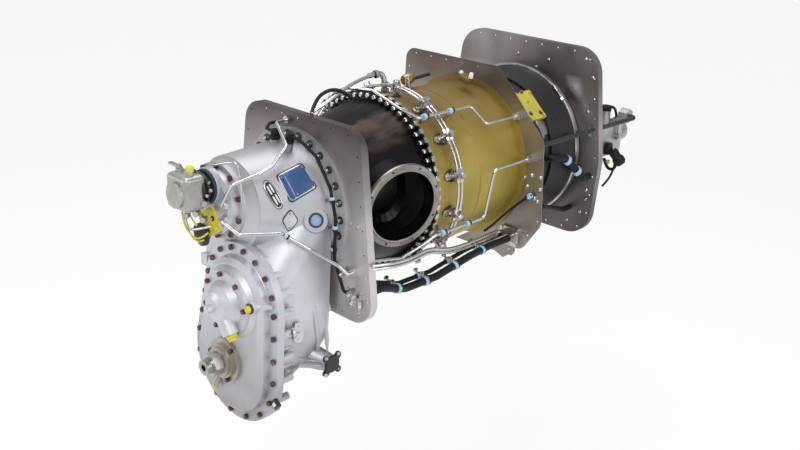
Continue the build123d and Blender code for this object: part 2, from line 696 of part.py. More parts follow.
cover_outside = dish(COVER_FACE, 0)
cover_inside = dish(COVER_FACE + COVER_WALL, COVER_WALL)
cover_flange = slab(split_face(SPLIT, SPLIT_EDGE), FLANGE_THICK)
crown_outside = cone(CROWN_FACE, CROWN_R, SPLIT - FLANGE_THICK, CROWN_BASE_R, IDLER_X, IDLER_Z)
crown_inside = cone(CROWN_FACE + COVER_WALL, CROWN_R - COVER_WALL, SPLIT - FLANGE_THICK,
                    CROWN_BASE_R - COVER_WALL, IDLER_X, IDLER_Z)
IDLER_BEARING_FRONT = COVER_FACE + 13.0
OUTPUT_BEARING_FRONT = COVER_FACE + COVER_WALL + 2.0
output_seat = ring(COVER_FACE + 1, OUTPUT_BEARING_FRONT + BEARING_WIDTH, SHAFT_SEAT_R + SEAT_WALL,
                   SHAFT_SEAT_R, 0, 0)
idler_seat = ring(CROWN_FACE + 1, IDLER_BEARING_FRONT + BEARING_WIDTH, SHAFT_SEAT_R + SEAT_WALL,
                  SHAFT_SEAT_R, IDLER_X, IDLER_Z)
plug_boss = rod(PLUG_CAP, PLUG_TAIL, 13.0, 5.0)
with BuildPart() as gearbox_front_cover:
    add(cover_outside)
    add(cover_flange)
    add(crown_outside)
    add(plug_boss)
    add(cover_inside, mode=Mode.SUBTRACT)
    add(crown_inside, mode=Mode.SUBTRACT)
    add(output_seat)
    add(idler_seat)
    with BuildSketch(station(COVER_FACE)):
        Circle(SHAFT_R + SHAFT_HOLE_GAP)
        with Locations((IDLER_X, IDLER_Z)):
            Circle(SHAFT_SEAT_R)
    extrude(amount=-COVER_WALL - 1, mode=Mode.SUBTRACT)
    with BuildSketch(station(CROWN_FACE)):
        with Locations((IDLER_X, IDLER_Z)):
            Circle(SHAFT_SEAT_R)
    extrude(amount=-COVER_WALL - 1, mode=Mode.SUBTRACT)
    for x, z in split_bolts:
        with BuildSketch(station(SPLIT - FLANGE_THICK, x, z)):
            Circle(SPLIT_BOLT_R)
        extrude(amount=-FLANGE_THICK, mode=Mode.SUBTRACT)
finish("gearbox_front_cover", gearbox_front_cover)

# Bolts along the split line
SHANK_GAP = 0.2
SPLIT_BOLT_ACROSS = 12.0
SPLIT_BOLT_HEAD = 7.0
split_bolt_solids = [bolt(SPLIT_BOLT_ACROSS, SPLIT_BOLT_HEAD, SPLIT_BOLT_R - SHANK_GAP,
                          FLANGE_THICK + BOSS_LENGTH / 2 - 2, x, SPLIT - FLANGE_THICK, z)
                     for x, z in split_bolts]
with BuildPart() as split_line_bolts:
    add(split_bolt_solids)

# Seal retainer round the output shaft, in three steps, and its bolts
RETAINER_R = 56.0
RETAINER_BOLT_CIRCLE = 49.5
RETAINER_BOLTS = 3
RETAINER_STEP = 9.0
SEAL_GAP = 0.5
SEAL_FACE = COVER_FACE - 3 * RETAINER_STEP + 1
with BuildPart() as output_seal_retainer:
    add(turned([(SEAL_FACE, SHAFT_R + SEAL_GAP), (COVER_FACE, SHAFT_R + SEAL_GAP), (COVER_FACE, RETAINER_R),
                (COVER_FACE - RETAINER_STEP, RETAINER_R), (COVER_FACE - RETAINER_STEP, RETAINER_R - 13),
                (COVER_FACE - 2 * RETAINER_STEP, RETAINER_R - 13),
                (COVER_FACE - 2 * RETAINER_STEP, RETAINER_R - 19), (SEAL_FACE, RETAINER_R - 19)], 0, 0))
finish("output_seal_retainer", output_seal_retainer)

# Nose housing over the idler's front bearing, with a blank stub forward and a port downward
NOSE_FLANGE = 8.0
NOSE_BOLT_CIRCLE = 73.0
NOSE_BOLTS = 6
NOSE_BOLT_PITCH = 48.0
NOSE_STUB_R = 10.0
NOSE_STUB_FRONT = -4.0
NOSE_BACK_R = 58.0
NOSE_PORT_START = (IDLER_X + 8, 34.0, IDLER_Z - 12)
NOSE_PORT_END = (IDLER_X + 43, 34.0, IDLER_Z - 60)
NOSE_PORT_R = 20.0
nose_dome = turned([(CROWN_FACE, 0), (CROWN_FACE, CROWN_R - 1), (CROWN_FACE - NOSE_FLANGE, CROWN_R - 1),
                    (CROWN_FACE - NOSE_FLANGE, NOSE_BACK_R), (32, 49), (20, 36), (13, 22), (11, 0)],
                   IDLER_X, IDLER_Z)
nose_stub = drum(NOSE_STUB_FRONT, 16, NOSE_STUB_R, IDLER_X, IDLER_Z)
nose_port = rod(NOSE_PORT_START, NOSE_PORT_END, NOSE_PORT_R)
nose_hollow = turned([(CROWN_FACE, 0), (CROWN_FACE, SHAFT_SEAT_R), (34, SHAFT_SEAT_R - 2), (22, 24),
                      (18, 0)],
                     IDLER_X, IDLER_Z)
with BuildPart() as nose_housing:
    add(nose_dome)
    add(nose_stub)
    add(nose_port)
    add(nose_hollow, mode=Mode.SUBTRACT)
finish("nose_housing", nose_housing)

cover_bolt_places = [(*polar(NOSE_BOLT_CIRCLE, 5.0 + NOSE_BOLT_PITCH * turn, IDLER_X, IDLER_Z),
                      CROWN_FACE - NOSE_FLANGE) for turn in range(NOSE_BOLTS)]
cover_bolt_places += [(*polar(RETAINER_BOLT_CIRCLE, 50.0 + 360 * turn / RETAINER_BOLTS, 0, 0),
                       COVER_FACE - RETAINER_STEP) for turn in range(RETAINER_BOLTS)]
with BuildPart() as cover_bolts:
    add([bolt(11, 7, 0, 0, x, y, z) for x, z, y in cover_bolt_places])

# Drive cover on the upper left front, with the governor shaft's bearing in it
DRIVE_FLANGE = 10.0
DRIVE_COVER_WALL = 6.0
DRIVE_BOLT_CIRCLE = 86.0
DRIVE_BOLTS = 10
GOVERNOR_SHAFT_R = 12.0
GOVERNOR_SEAT_R = GOVERNOR_SHAFT_R + RUNNING + BEARING_DEPTH
GOVERNOR_PAD_R = 44.0
GOVERNOR_PAD_FACE = DRIVE_COVER_FACE - 7.0
SPARE_PAD_X = -32.0
SPARE_PAD_Z = 352.0
SPARE_PAD_R = 34.0
SPARE_PAD_FACE = DRIVE_COVER_FACE - 8.0
GOVERNOR_BEARING = DRIVE_COVER_FACE + 8.0
drive_outside = turned([(DRIVE_CASE_FACE, 0), (DRIVE_CASE_FACE, DRIVE_CASE_R),
                        (DRIVE_CASE_FACE - DRIVE_FLANGE, DRIVE_CASE_R),
                        (DRIVE_CASE_FACE - DRIVE_FLANGE, DRIVE_CASE_R - 13), (DRIVE_COVER_FACE + 7, 76),
                        (DRIVE_COVER_FACE, 67), (DRIVE_COVER_FACE, 0)], DRIVE_CASE_X, DRIVE_CASE_Z)
drive_inside = cone(DRIVE_COVER_FACE + DRIVE_COVER_WALL, 62, DRIVE_CASE_FACE, 73, DRIVE_CASE_X,
                    DRIVE_CASE_Z)
governor_pad = drum(GOVERNOR_PAD_FACE, DRIVE_COVER_FACE + 6, GOVERNOR_PAD_R, GOVERNOR_X, GOVERNOR_Z)
spare_pad = drum(SPARE_PAD_FACE, DRIVE_COVER_FACE + 6, SPARE_PAD_R, SPARE_PAD_X, SPARE_PAD_Z)
governor_seat = drum(DRIVE_COVER_FACE + 1, GOVERNOR_BEARING + BEARING_WIDTH,
                     GOVERNOR_SEAT_R + SEAT_WALL - 2,
                     GOVERNOR_X, GOVERNOR_Z)
with BuildPart() as accessory_drive_cover:
    add(drive_outside)
    add(governor_pad)
    add(spare_pad)
    add(drive_inside, mode=Mode.SUBTRACT)
    add(governor_seat)
    add(drum(GOVERNOR_PAD_FACE, GOVERNOR_BEARING + BEARING_WIDTH, GOVERNOR_SEAT_R, GOVERNOR_X, GOVERNOR_Z),
        mode=Mode.SUBTRACT)
finish("accessory_drive_cover", accessory_drive_cover)

with BuildPart() as drive_cover_bolts:
    add([bolt(11, 7, 0, 0, *(polar(DRIVE_BOLT_CIRCLE, 18 + 360 * turn / DRIVE_BOLTS, DRIVE_CASE_X,
                                   DRIVE_CASE_Z)[0], DRIVE_CASE_FACE - DRIVE_FLANGE,
                             polar(DRIVE_BOLT_CIRCLE, 18 + 360 * turn / DRIVE_BOLTS, DRIVE_CASE_X,
                                   DRIVE_CASE_Z)[1])) for turn in range(DRIVE_BOLTS)])

# Governor drive: its gear and shaft behind the drive cover
governor_gear = spur_gear(SPUR_MODULE, GOVERNOR_TEETH, governor_phase, GOVERNOR_FRONT, GOVERNOR_WIDTH,
                          GOVERNOR_X, GOVERNOR_Z)
with BuildPart() as governor_drive_gear:
    add(governor_gear)
    add(drum(GOVERNOR_PAD_FACE + 2, GOVERNOR_FRONT + GOVERNOR_WIDTH + 2, GOVERNOR_SHAFT_R,
             GOVERNOR_X, GOVERNOR_Z))
finish("governor_drive_gear", governor_drive_gear)

# Power turbine governor: gasket, black adapter, cast body, control lever
GASKET_THICK = 2.0
ADAPTER_LENGTH = 22.0
ADAPTER_R = 38.0
GOVERNOR_BODY_FRONT = -24.0
gasket_front = GOVERNOR_PAD_FACE - GASKET_THICK
adapter_front = gasket_front - ADAPTER_LENGTH
with BuildPart() as governor_gasket:
    add(ring(gasket_front, GOVERNOR_PAD_FACE, GOVERNOR_PAD_R - 1, GOVERNOR_SEAT_R, GOVERNOR_X, GOVERNOR_Z))
finish("governor_gasket", governor_gasket)

with BuildPart() as governor_adapter:
    add(turned([(gasket_front, GOVERNOR_SHAFT_R + 4), (gasket_front, GOVERNOR_PAD_R - 3),
                (gasket_front - 8, GOVERNOR_PAD_R - 3), (gasket_front - 8, ADAPTER_R - 6),
                (adapter_front + 6, ADAPTER_R - 6), (adapter_front + 6, ADAPTER_R),
                (adapter_front, ADAPTER_R), (adapter_front, GOVERNOR_SHAFT_R + 4)], GOVERNOR_X, GOVERNOR_Z))
finish("governor_adapter", governor_adapter)

LEVER_SHAFT_X = GOVERNOR_X - 26
LEVER_SHAFT_Y = 2.0
LEVER_SHAFT_R = 4.0
GOVERNOR_TOP = GOVERNOR_Z + 40
governor_case = block((GOVERNOR_X - 46, GOVERNOR_BODY_FRONT, GOVERNOR_Z - 44),
                      (GOVERNOR_X + 32, adapter_front, GOVERNOR_TOP), 12)
with BuildPart() as governor_body:
    add(governor_case)
    add(drum(GOVERNOR_BODY_FRONT - 6, adapter_front, 30, GOVERNOR_X - 6, GOVERNOR_Z - 6))
    add(rod((LEVER_SHAFT_X, LEVER_SHAFT_Y, GOVERNOR_TOP - 8),
            (LEVER_SHAFT_X, LEVER_SHAFT_Y, GOVERNOR_TOP + 8), 9))
    add(rod((GOVERNOR_X + 14, LEVER_SHAFT_Y, GOVERNOR_TOP - 8),
            (GOVERNOR_X + 14, LEVER_SHAFT_Y, GOVERNOR_TOP + 10),
            8))
    add(rod((LEVER_SHAFT_X, LEVER_SHAFT_Y, GOVERNOR_TOP - 12),
            (LEVER_SHAFT_X, LEVER_SHAFT_Y, GOVERNOR_TOP + 9),
            LEVER_SHAFT_R + RUNNING), mode=Mode.SUBTRACT)
finish("governor_body", governor_body)

LEVER_LENGTH = 34.0
LEVER_THICK = 4.0
lever_z = GOVERNOR_TOP + 9
with BuildPart() as governor_lever:
    with BuildSketch(Plane((LEVER_SHAFT_X, LEVER_SHAFT_Y, lever_z))):
        with Locations((-LEVER_LENGTH / 2, 0)):
            SlotCenterToCenter(LEVER_LENGTH, 12)
        with Locations((-LEVER_LENGTH, 0)):
            Circle(2.5, mode=Mode.SUBTRACT)
    extrude(amount=LEVER_THICK)
    with BuildSketch(Plane((LEVER_SHAFT_X, LEVER_SHAFT_Y, GOVERNOR_TOP - 10))):
        Circle(LEVER_SHAFT_R)
    extrude(amount=20 + LEVER_THICK + 3)
finish("governor_lever", governor_lever)

# Shipping plate over the unused drive pad beside the governor
SPARE_PLATE_THICK = 5.0
with BuildPart() as spare_pad_plate:
    with BuildSketch(station(SPARE_PAD_FACE, SPARE_PAD_X, SPARE_PAD_Z)):
        Rectangle(62, 62, rotation=32)
    extrude(amount=SPARE_PLATE_THICK)
    with BuildSketch(station(SPARE_PAD_FACE - SPARE_PLATE_THICK, SPARE_PAD_X, SPARE_PAD_Z)):
        with PolarLocations(30, 4, 45 + 32):
            RegularPolygon(5, 6)
    extrude(amount=5)

# Mount pads: a black four-lobed plate on each side arm
with BuildPart() as mount_lobes:
    with BuildSketch(Plane(origin=(0, 0, 0), x_dir=(0, 1, 0), z_dir=(1, 0, 0))):
        Circle(MOUNT_ARM_R)
        for turn in (45, -45):
            with Locations(Rotation(0, 0, turn)):
                SlotCenterToCenter(MOUNT_SPACING * sqrt(2), 17)
        with GridLocations(MOUNT_SPACING, MOUNT_SPACING, 2, 2):
            Circle(MOUNT_BOLT_R, mode=Mode.SUBTRACT)
    extrude(amount=MOUNT_PAD_THICK)
with BuildPart() as mount_pads:
    add(Pos(MOUNT_PAD_X, MOUNT_PAD_Y, MOUNT_PAD_Z) * mount_lobes.part)
    add(Pos(-MOUNT_PAD_X - MOUNT_PAD_THICK, MOUNT_PAD_Y, MOUNT_PAD_Z) * mount_lobes.part)
finish("mount_pads", mount_pads)

# Bearings of the reduction gearbox
with BuildPart() as output_bearings:
    add(bearing(OUTPUT_BEARING_FRONT, SHAFT_R, 0, 0))
    add(bearing(HOUSING_BACK - HOUSING_WALL - BEARING_WIDTH, SHAFT_R, 0, 0))

with BuildPart() as idler_bearings:
    add(bearing(IDLER_BEARING_FRONT, SHAFT_R, IDLER_X, IDLER_Z))
    add(bearing(HOUSING_BACK - HOUSING_WALL - BEARING_WIDTH, SHAFT_R, IDLER_X, IDLER_Z))

with BuildPart() as carrier_bearings:
    add(bearing(CARRIER_FRONT_BEARING, CARRIER_SHAFT_R))
    add(bearing(WEB_STATION, CARRIER_SHAFT_R))

with BuildPart() as governor_bearing:
    add(bearing(GOVERNOR_BEARING, GOVERNOR_SHAFT_R, GOVERNOR_X, GOVERNOR_Z))

# Firewalls. Each outline is a polygon of named corners with every corner rounded.


EDGE_HOLE_R = 2.5
EDGE_HOLE_INSET = 13.0
EDGE_HOLE_PITCH = 58.0


def firewall(front, corners, rounding, hole_r, lip):
    """A sheet wall square to the shafts, with a lip turned aft round its edge and a round hole."""
    with BuildSketch(station(front)) as outline:
        with BuildLine():
            Polyline(*corners, close=True)
        make_face()
        fillet(outline.vertices(), rounding)
    with BuildPart() as wall:
        extrude(to_extrude=outline.sketch, amount=-PLATE_THICK)
        if lip > 0:
            rim = offset(outline.sketch.faces()[0], amount=-PLATE_THICK, mode=Mode.PRIVATE)
            extrude(to_extrude=outline.sketch, amount=-lip)
            extrude(to_extrude=rim.moved(Location((0, PLATE_THICK, 0))), amount=-lip, mode=Mode.SUBTRACT)
        with BuildSketch(station(front, 0, ENGINE_Z)):
            Circle(hole_r)
        extrude(amount=-PLATE_THICK, mode=Mode.SUBTRACT)
        holes = offset(outline.sketch.faces()[0], amount=-EDGE_HOLE_INSET, mode=Mode.PRIVATE).wires()[0]
        count = round(holes.length / EDGE_HOLE_PITCH)
        with BuildSketch(station(front)):
            with Locations(*[((holes @ (step / count)).X,
                              (holes @ (step / count)).Z) for step in range(count)]):
                Circle(EDGE_HOLE_R)
        extrude(amount=-PLATE_THICK, mode=Mode.SUBTRACT)
    return wall.part


FRONT_PLATE_TOP = 582.0
FRONT_PLATE_BOTTOM = 110.0
FRONT_PLATE_TOP_RIGHT = 216.0
FRONT_PLATE_BOTTOM_RIGHT = 281.0
FRONT_PLATE_TOP_LEFT = -186.0
FRONT_PLATE_BOTTOM_LEFT = -240.0
front_plate_y = NECK_STATION + NECK_FLANGE_THICK
front_wall = firewall(front_plate_y,
                      [(FRONT_PLATE_TOP_LEFT, FRONT_PLATE_TOP), (FRONT_PLATE_TOP_RIGHT, FRONT_PLATE_TOP),
                       (FRONT_PLATE_BOTTOM_RIGHT, FRONT_PLATE_BOTTOM),
                       (FRONT_PLATE_BOTTOM_LEFT, FRONT_PLATE_BOTTOM)],
                      PLATE_CORNER, NECK_R - HOUSING_WALL, PLATE_LIP)
with BuildPart() as front_firewall:
    add(front_wall)
    with BuildSketch(station(front_plate_y, 0, ENGINE_Z)):
        with PolarLocations(NECK_BOLT_R, NECK_BOLTS):
            Circle(NECK_BOLT_SHANK)
    extrude(amount=-PLATE_THICK, mode=Mode.SUBTRACT)
finish("front_firewall", front_firewall)

MIDDLE_PLATE_TOP = 635.0
MIDDLE_PLATE_HALF = 281.0
MIDDLE_PLATE_BOTTOM = 132.0
MIDDLE_PLATE_CHAMFER_X = 110.0
MIDDLE_PLATE_CHAMFER_Z = 460.0
MIDDLE_PLATE_LEFT = -236.0
MIDDLE_TAB = 42.0
middle_plate_y = CASE_BACK
middle_wall = firewall(middle_plate_y,
                       [(MIDDLE_PLATE_LEFT, MIDDLE_PLATE_TOP), (MIDDLE_PLATE_CHAMFER_X, MIDDLE_PLATE_TOP),
                        (MIDDLE_PLATE_HALF, MIDDLE_PLATE_CHAMFER_Z),
                        (MIDDLE_PLATE_HALF + 18, MIDDLE_PLATE_BOTTOM + 90),
                        (MIDDLE_PLATE_HALF - 40, MIDDLE_PLATE_BOTTOM),
                        (MIDDLE_PLATE_LEFT - 10, MIDDLE_PLATE_BOTTOM)],
                       34, CASE_R - CASE_WALL, 0)
with BuildPart() as middle_firewall:
    add(middle_wall)
    with BuildSketch(station(middle_plate_y)):
        with BuildLine():
            Polyline((60, MIDDLE_PLATE_BOTTOM + 4), (200, MIDDLE_PLATE_BOTTOM + 4),
                     (196, MIDDLE_PLATE_BOTTOM - MIDDLE_TAB + 12), (180, MIDDLE_PLATE_BOTTOM - MIDDLE_TAB),
                     close=True)
        make_face()
    extrude(amount=-PLATE_THICK)
finish("middle_firewall", middle_firewall)

REAR_PLATE_TOP = 670.0
REAR_PLATE_TOP_HALF = 240.0
REAR_PLATE_HALF = 287.0
REAR_PLATE_BEND = 345.0
REAR_PLATE_BOTTOM = 106.0
REAR_PLATE_ROUND = 80.0
rear_wall = firewall(REAR_PLATE_STATION,
                     [(-REAR_PLATE_TOP_HALF - 12, REAR_PLATE_TOP), (REAR_PLATE_TOP_HALF, REAR_PLATE_TOP),
                      (REAR_PLATE_HALF, REAR_PLATE_BEND), (REAR_PLATE_HALF - 12, REAR_PLATE_BOTTOM),
                      (-REAR_PLATE_HALF + 12, REAR_PLATE_BOTTOM), (-REAR_PLATE_HALF, REAR_PLATE_BEND)],
                     REAR_PLATE_ROUND, TANK_R, PLATE_LIP)
ROD_X = 250.0
ROD_Z = 436.0
with BuildPart() as rear_firewall:
    add(rear_wall)
    with BuildSketch(station(REAR_PLATE_STATION, ROD_X, ROD_Z)):
        SlotOverall(40, 22, rotation=90)
    extrude(amount=-PLATE_THICK, mode=Mode.SUBTRACT)
finish("rear_firewall", rear_firewall)

# Exhaust duct: a flaring drum with a bolted flange at each end and a round port on each side
DUCT_FLANGE_THICK = 7.0
duct_front = front_plate_y + PLATE_THICK
DUCT_HUB_R = 62.0
duct_neck = duct_front + DUCT_FLANGE_THICK


def port_plane(side, reach=0.0):
    """The plane of a port's flange face, moved outward along the port by a reach."""
    out = Vector(side * cos(radians(PORT_YAW)) * cos(radians(PORT_DROOP)),
                 -sin(radians(PORT_YAW)) * cos(radians(PORT_DROOP)), -sin(radians(PORT_DROOP)))
    face = Plane(origin=(side * PORT_FACE_X, PORT_STATION, ENGINE_Z + PORT_RISE), x_dir=(0, 1, 0),
                 z_dir=out)
    return face.offset(reach)


PORT_DEPTH = 130.0
with BuildPart() as exhaust_duct:
    add(turned([(duct_neck - 1, 0), (duct_neck - 1, DUCT_FRONT_R + DUCT_WALL),
                (MAIN_STATION, DUCT_BACK_R + DUCT_WALL), (MAIN_STATION, 0)]))
    for side in (1, -1):
        with BuildSketch(port_plane(side)):
            Circle(PORT_BORE_R + DUCT_WALL)
        extrude(amount=-PORT_DEPTH)
    add(turned([(duct_neck + DUCT_WALL, 0), (duct_neck + DUCT_WALL, DUCT_FRONT_R),
                (MAIN_STATION, DUCT_BACK_R),
                (MAIN_STATION, 0)]), mode=Mode.SUBTRACT)
    for side in (1, -1):
        with BuildSketch(port_plane(side)):
            Circle(PORT_FLANGE_R)
        extrude(amount=-PORT_FLANGE_THICK)
        with BuildSketch(port_plane(side)):
            Circle(PORT_BORE_R)
        extrude(amount=-PORT_DEPTH, mode=Mode.SUBTRACT)
        with BuildSketch(port_plane(side)):
            with PolarLocations(PORT_BOLT_R, PORT_BOLTS, 360 / PORT_BOLTS / 2):
                Circle(PORT_BOLT_HOLE_R)
        extrude(amount=-PORT_FLANGE_THICK, mode=Mode.SUBTRACT)
    add(turned([(duct_front, DUCT_HUB_R), (duct_front, NECK_FLANGE_R), (duct_neck, NECK_FLANGE_R),
                (duct_neck, DUCT_FRONT_R + DUCT_WALL - 1), (duct_neck + DUCT_WALL, DUCT_FRONT_R),
                (duct_neck + DUCT_WALL, DUCT_HUB_R)]))
    add(ring(MAIN_STATION - MAIN_FLANGE_THICK, MAIN_STATION, MAIN_FLANGE_R, DUCT_BACK_R))
    add(drum(duct_front - 1, duct_neck + DUCT_WALL + 1, DUCT_HUB_R), mode=Mode.SUBTRACT)
    with BuildSketch(station(duct_front, 0, ENGINE_Z)):
        with PolarLocations(NECK_BOLT_R, NECK_BOLTS):
            Circle(NECK_BOLT_SHANK)
    extrude(amount=-DUCT_FLANGE_THICK, mode=Mode.SUBTRACT)
finish("exhaust_duct", exhaust_duct)

# Bolts of the neck flange: head on the gearbox side, nut behind the duct's flange
NECK_BOLT_ACROSS = 11.0
NECK_BOLT_HEAD = 7.0
NECK_NUT = 6.0
neck_bolt = bolt(NECK_BOLT_ACROSS, NECK_BOLT_HEAD, NECK_BOLT_SHANK - SHANK_GAP, duct_neck - NECK_STATION,
                 NECK_BOLT_R, NECK_STATION, ENGINE_Z)
neck_nut = bolt(NECK_BOLT_ACROSS, NECK_NUT, 0, 0, NECK_BOLT_R, duct_neck + NECK_NUT, ENGINE_Z)
with BuildPart() as neck_bolts:
    with Locations(*spaced(NECK_BOLTS)):
        add(neck_bolt)
        add(neck_nut)

# Heads and nuts of the main flange
MAIN_BOLT_ACROSS = 9.0
MAIN_BOLT_HEAD = 8.0
main_head = bolt(MAIN_BOLT_ACROSS, MAIN_BOLT_HEAD, 0, 0, MAIN_BOLT_R, MAIN_STATION - MAIN_FLANGE_THICK,
                 ENGINE_Z)
with BuildPart() as main_flange_bolts:
    with Locations(*spaced(MAIN_BOLTS, 3)):
        add(main_head)

# Power turbine shaft housing: a cone inside the duct with the shaft's two bearings in its core
HUB_BACK_R = 98.0
HUB_BACK = 544.0
SUN_SEAT_R = SUN_SHAFT_R + RUNNING + BEARING_DEPTH
with BuildPart() as turbine_shaft_housing:
    add(turned([(duct_front, SUN_SEAT_R), (duct_front, DUCT_HUB_R), (duct_neck + DUCT_WALL, DUCT_HUB_R),
                (HUB_BACK, HUB_BACK_R), (HUB_BACK, HUB_BACK_R - DUCT_WALL),
                (duct_neck + DUCT_WALL, DUCT_HUB_R - DUCT_WALL - 4),
                (duct_neck + DUCT_WALL, SUN_SEAT_R + 5),
                (HUB_BACK - 20, SUN_SEAT_R + 5), (HUB_BACK - 20, SUN_SEAT_R)]))
finish("turbine_shaft_housing", turbine_shaft_housing)

with BuildPart() as power_turbine_bearings:
    add(bearing(duct_front + 4, SUN_SHAFT_R))
    add(bearing(HUB_BACK - 24 - BEARING_WIDTH, SUN_SHAFT_R))

# Power turbine: bladed disc, shaft and sun gear
TURBINE_HUB_R = 82.0
POWER_TIP_R = 120.0
POWER_FRONT = 556.0
POWER_BACK = 580.0
POWER_BLADES = 31
sun_gear = spur_gear(PLANET_MODULE, SUN_TEETH, sun_phase, SUN_FRONT, PLANET_WIDTH, 0, ENGINE_Z)
power_blades = blade_row(POWER_FRONT + 2, POWER_BACK - 2, TURBINE_HUB_R - 1, POWER_TIP_R, POWER_BLADES,
                         3.0, 35)
with BuildPart() as power_turbine_rotor:
    add(turned([(POWER_FRONT - 20, 0), (POWER_FRONT - 20, SUN_SHAFT_R + 6), (POWER_FRONT + 4, 34),
                (POWER_FRONT + 8, TURBINE_HUB_R - 10), (POWER_FRONT, TURBINE_HUB_R - 6),
                (POWER_FRONT, TURBINE_HUB_R), (POWER_BACK, TURBINE_HUB_R), (POWER_BACK, TURBINE_HUB_R - 6),
                (POWER_BACK - 8, TURBINE_HUB_R - 10), (POWER_BACK - 6, 26), (POWER_BACK - 6, 0)]))
    add(power_blades)
finish("power_turbine_rotor", power_turbine_rotor)

with BuildPart() as power_turbine_shaft:
    add(sun_gear)
    add(drum(SUN_FRONT - 1, POWER_FRONT - 20, SUN_SHAFT_R))
finish("power_turbine_shaft", power_turbine_shaft)

# Shroud round both turbines, hung from the main flange
SHROUD_R = POWER_TIP_R + TIP_GAP
SHROUD_BACK = 642.0
with BuildPart() as turbine_shroud:
    add(turned([(MAIN_STATION + 1, SHROUD_R), (MAIN_STATION + 1, SHROUD_R + 6),
                (MAIN_STATION + 2, SHROUD_R + 6),
                (MAIN_STATION + 2, CASE_R - CASE_WALL), (MAIN_STATION + 5, CASE_R - CASE_WALL),
                (MAIN_STATION + 5, SHROUD_R + 6), (SHROUD_BACK, SHROUD_R + 4), (SHROUD_BACK, SHROUD_R)]))
finish("turbine_shroud", turbine_shroud)

# Vane rings ahead of each turbine: they fill the gap between the shroud and an inner band
VANES = 19
POWER_VANE_FRONT = 584.0
POWER_VANE_BACK = 600.0
GAS_TURBINE_FRONT = 604.0
GAS_TURBINE_BACK = 624.0
GAS_VANE_FRONT = 628.0
VANE_HUB_R = 74.0


def vane_ring(front, back, lean):
    """A ring of fixed vanes between an inner band and an outer band that seats in the shroud."""
    vanes = blade_row(front + 2, back - 2, VANE_HUB_R + 3, SHROUD_R - 2, VANES, 3.0, lean)
    with BuildPart() as row:
        add(ring(front, back, VANE_HUB_R + 4, VANE_HUB_R))
        add(ring(front, back, SHROUD_R, SHROUD_R - 3))
        add(vanes)
    return row.part


power_vanes = vane_ring(POWER_VANE_FRONT, POWER_VANE_BACK, -40)
with BuildPart() as power_turbine_vanes:
    add(power_vanes)

gas_vanes = vane_ring(GAS_VANE_FRONT, SHROUD_BACK, 40)
with BuildPart() as gas_turbine_vanes:
    add(gas_vanes)

# Gas generator case with its flanges, seam bands and nozzle bosses
SEAM_HEIGHT = 2.0
IGNITER_ANGLES = (96.0, -96.0)
IGNITER_STATION = 700.0
IGNITER_BOSS_R = 12.0
NOZZLE_BOSS_R = 13.0
with BuildPart() as gas_generator_case:
    add(turned([(MAIN_STATION, CASE_R - CASE_WALL), (MAIN_STATION, MAIN_FLANGE_R),
                (MAIN_STATION + MAIN_FLANGE_THICK, MAIN_FLANGE_R),
                (MAIN_STATION + MAIN_FLANGE_THICK, CASE_R),
                (SEAM_STATION - 4, CASE_R), (SEAM_STATION - 3, CASE_R + SEAM_HEIGHT),
                (SEAM_STATION + 3, CASE_R + SEAM_HEIGHT), (SEAM_STATION + 4, CASE_R),
                (CASE_BACK - MAIN_FLANGE_THICK, CASE_R), (CASE_BACK - MAIN_FLANGE_THICK, CASE_FLANGE_R),
                (CASE_BACK, CASE_FLANGE_R), (CASE_BACK, CASE_R - CASE_WALL)]))
    for turn in range(NOZZLES):
        with BuildSketch(radial_plane(CASE_R - 1, NOZZLE_STATION, NOZZLE_START + 360 * turn / NOZZLES)):
            Circle(NOZZLE_BOSS_R)
        extrude(amount=6)
    for turn in IGNITER_ANGLES:
        with BuildSketch(radial_plane(CASE_R - 1, IGNITER_STATION, turn)):
            Circle(IGNITER_BOSS_R)
        extrude(amount=6)
finish("gas_generator_case", gas_generator_case)

with BuildPart() as igniter_plugs:
    for turn in IGNITER_ANGLES:
        seat = radial_plane(CASE_R + 5, IGNITER_STATION, turn)
        with BuildSketch(seat):
            RegularPolygon(10, 6)
        extrude(amount=8)
        with BuildSketch(seat.offset(7)):
            Circle(7)
        extrude(amount=26)
finish("igniter_plugs", igniter_plugs)

# Fuel nozzles: a holder on each boss that carries the two manifold tubes
NOZZLE_HOLDER = 34.0
NOZZLE_SEAT_R = CASE_R + 5.0
MANIFOLD_GAUGE = 14.0
holder_seat = radial_plane(NOZZLE_SEAT_R, NOZZLE_STATION, 0)
with BuildPart() as nozzle_holder:
    with BuildSketch(holder_seat):
        SlotCenterToCenter(MANIFOLD_GAUGE, 13)
    extrude(amount=MANIFOLD_R + MANIFOLD_TUBE / 2 + 4 - NOZZLE_SEAT_R)
    with BuildSketch(holder_seat):
        SlotCenterToCenter(NOZZLE_HOLDER - 10, 13, rotation=90)
    extrude(amount=5)
with BuildPart() as fuel_nozzles:
    with Locations(*spaced(NOZZLES, NOZZLE_START)):
        add(nozzle_holder.part)
finish("fuel_nozzles", fuel_nozzles)

# Fuel manifold: two tubes from each holder to the next
holder_half = degrees((13.4 / 2) / (MANIFOLD_R - MANIFOLD_TUBE / 2))
span = 360 / NOZZLES - 2 * holder_half
manifold_runs = []
for offset_y in (-MANIFOLD_GAUGE / 2, MANIFOLD_GAUGE / 2):
    with BuildPart() as run:
        with BuildSketch(meridian(0, ENGINE_Z)):
            with Locations((NOZZLE_STATION + offset_y, MANIFOLD_R)):
                Circle(MANIFOLD_TUBE / 2)
        revolve(axis=Axis((0, 0, ENGINE_Z), (0, -1, 0)), revolution_arc=span)
    manifold_runs.append(run.part)
first_run = NOZZLE_START + holder_half - 90
with BuildPart() as fuel_manifold:
    with Locations(*spaced(NOZZLES, first_run)):
        add(manifold_runs)
finish("fuel_manifold", fuel_manifold)

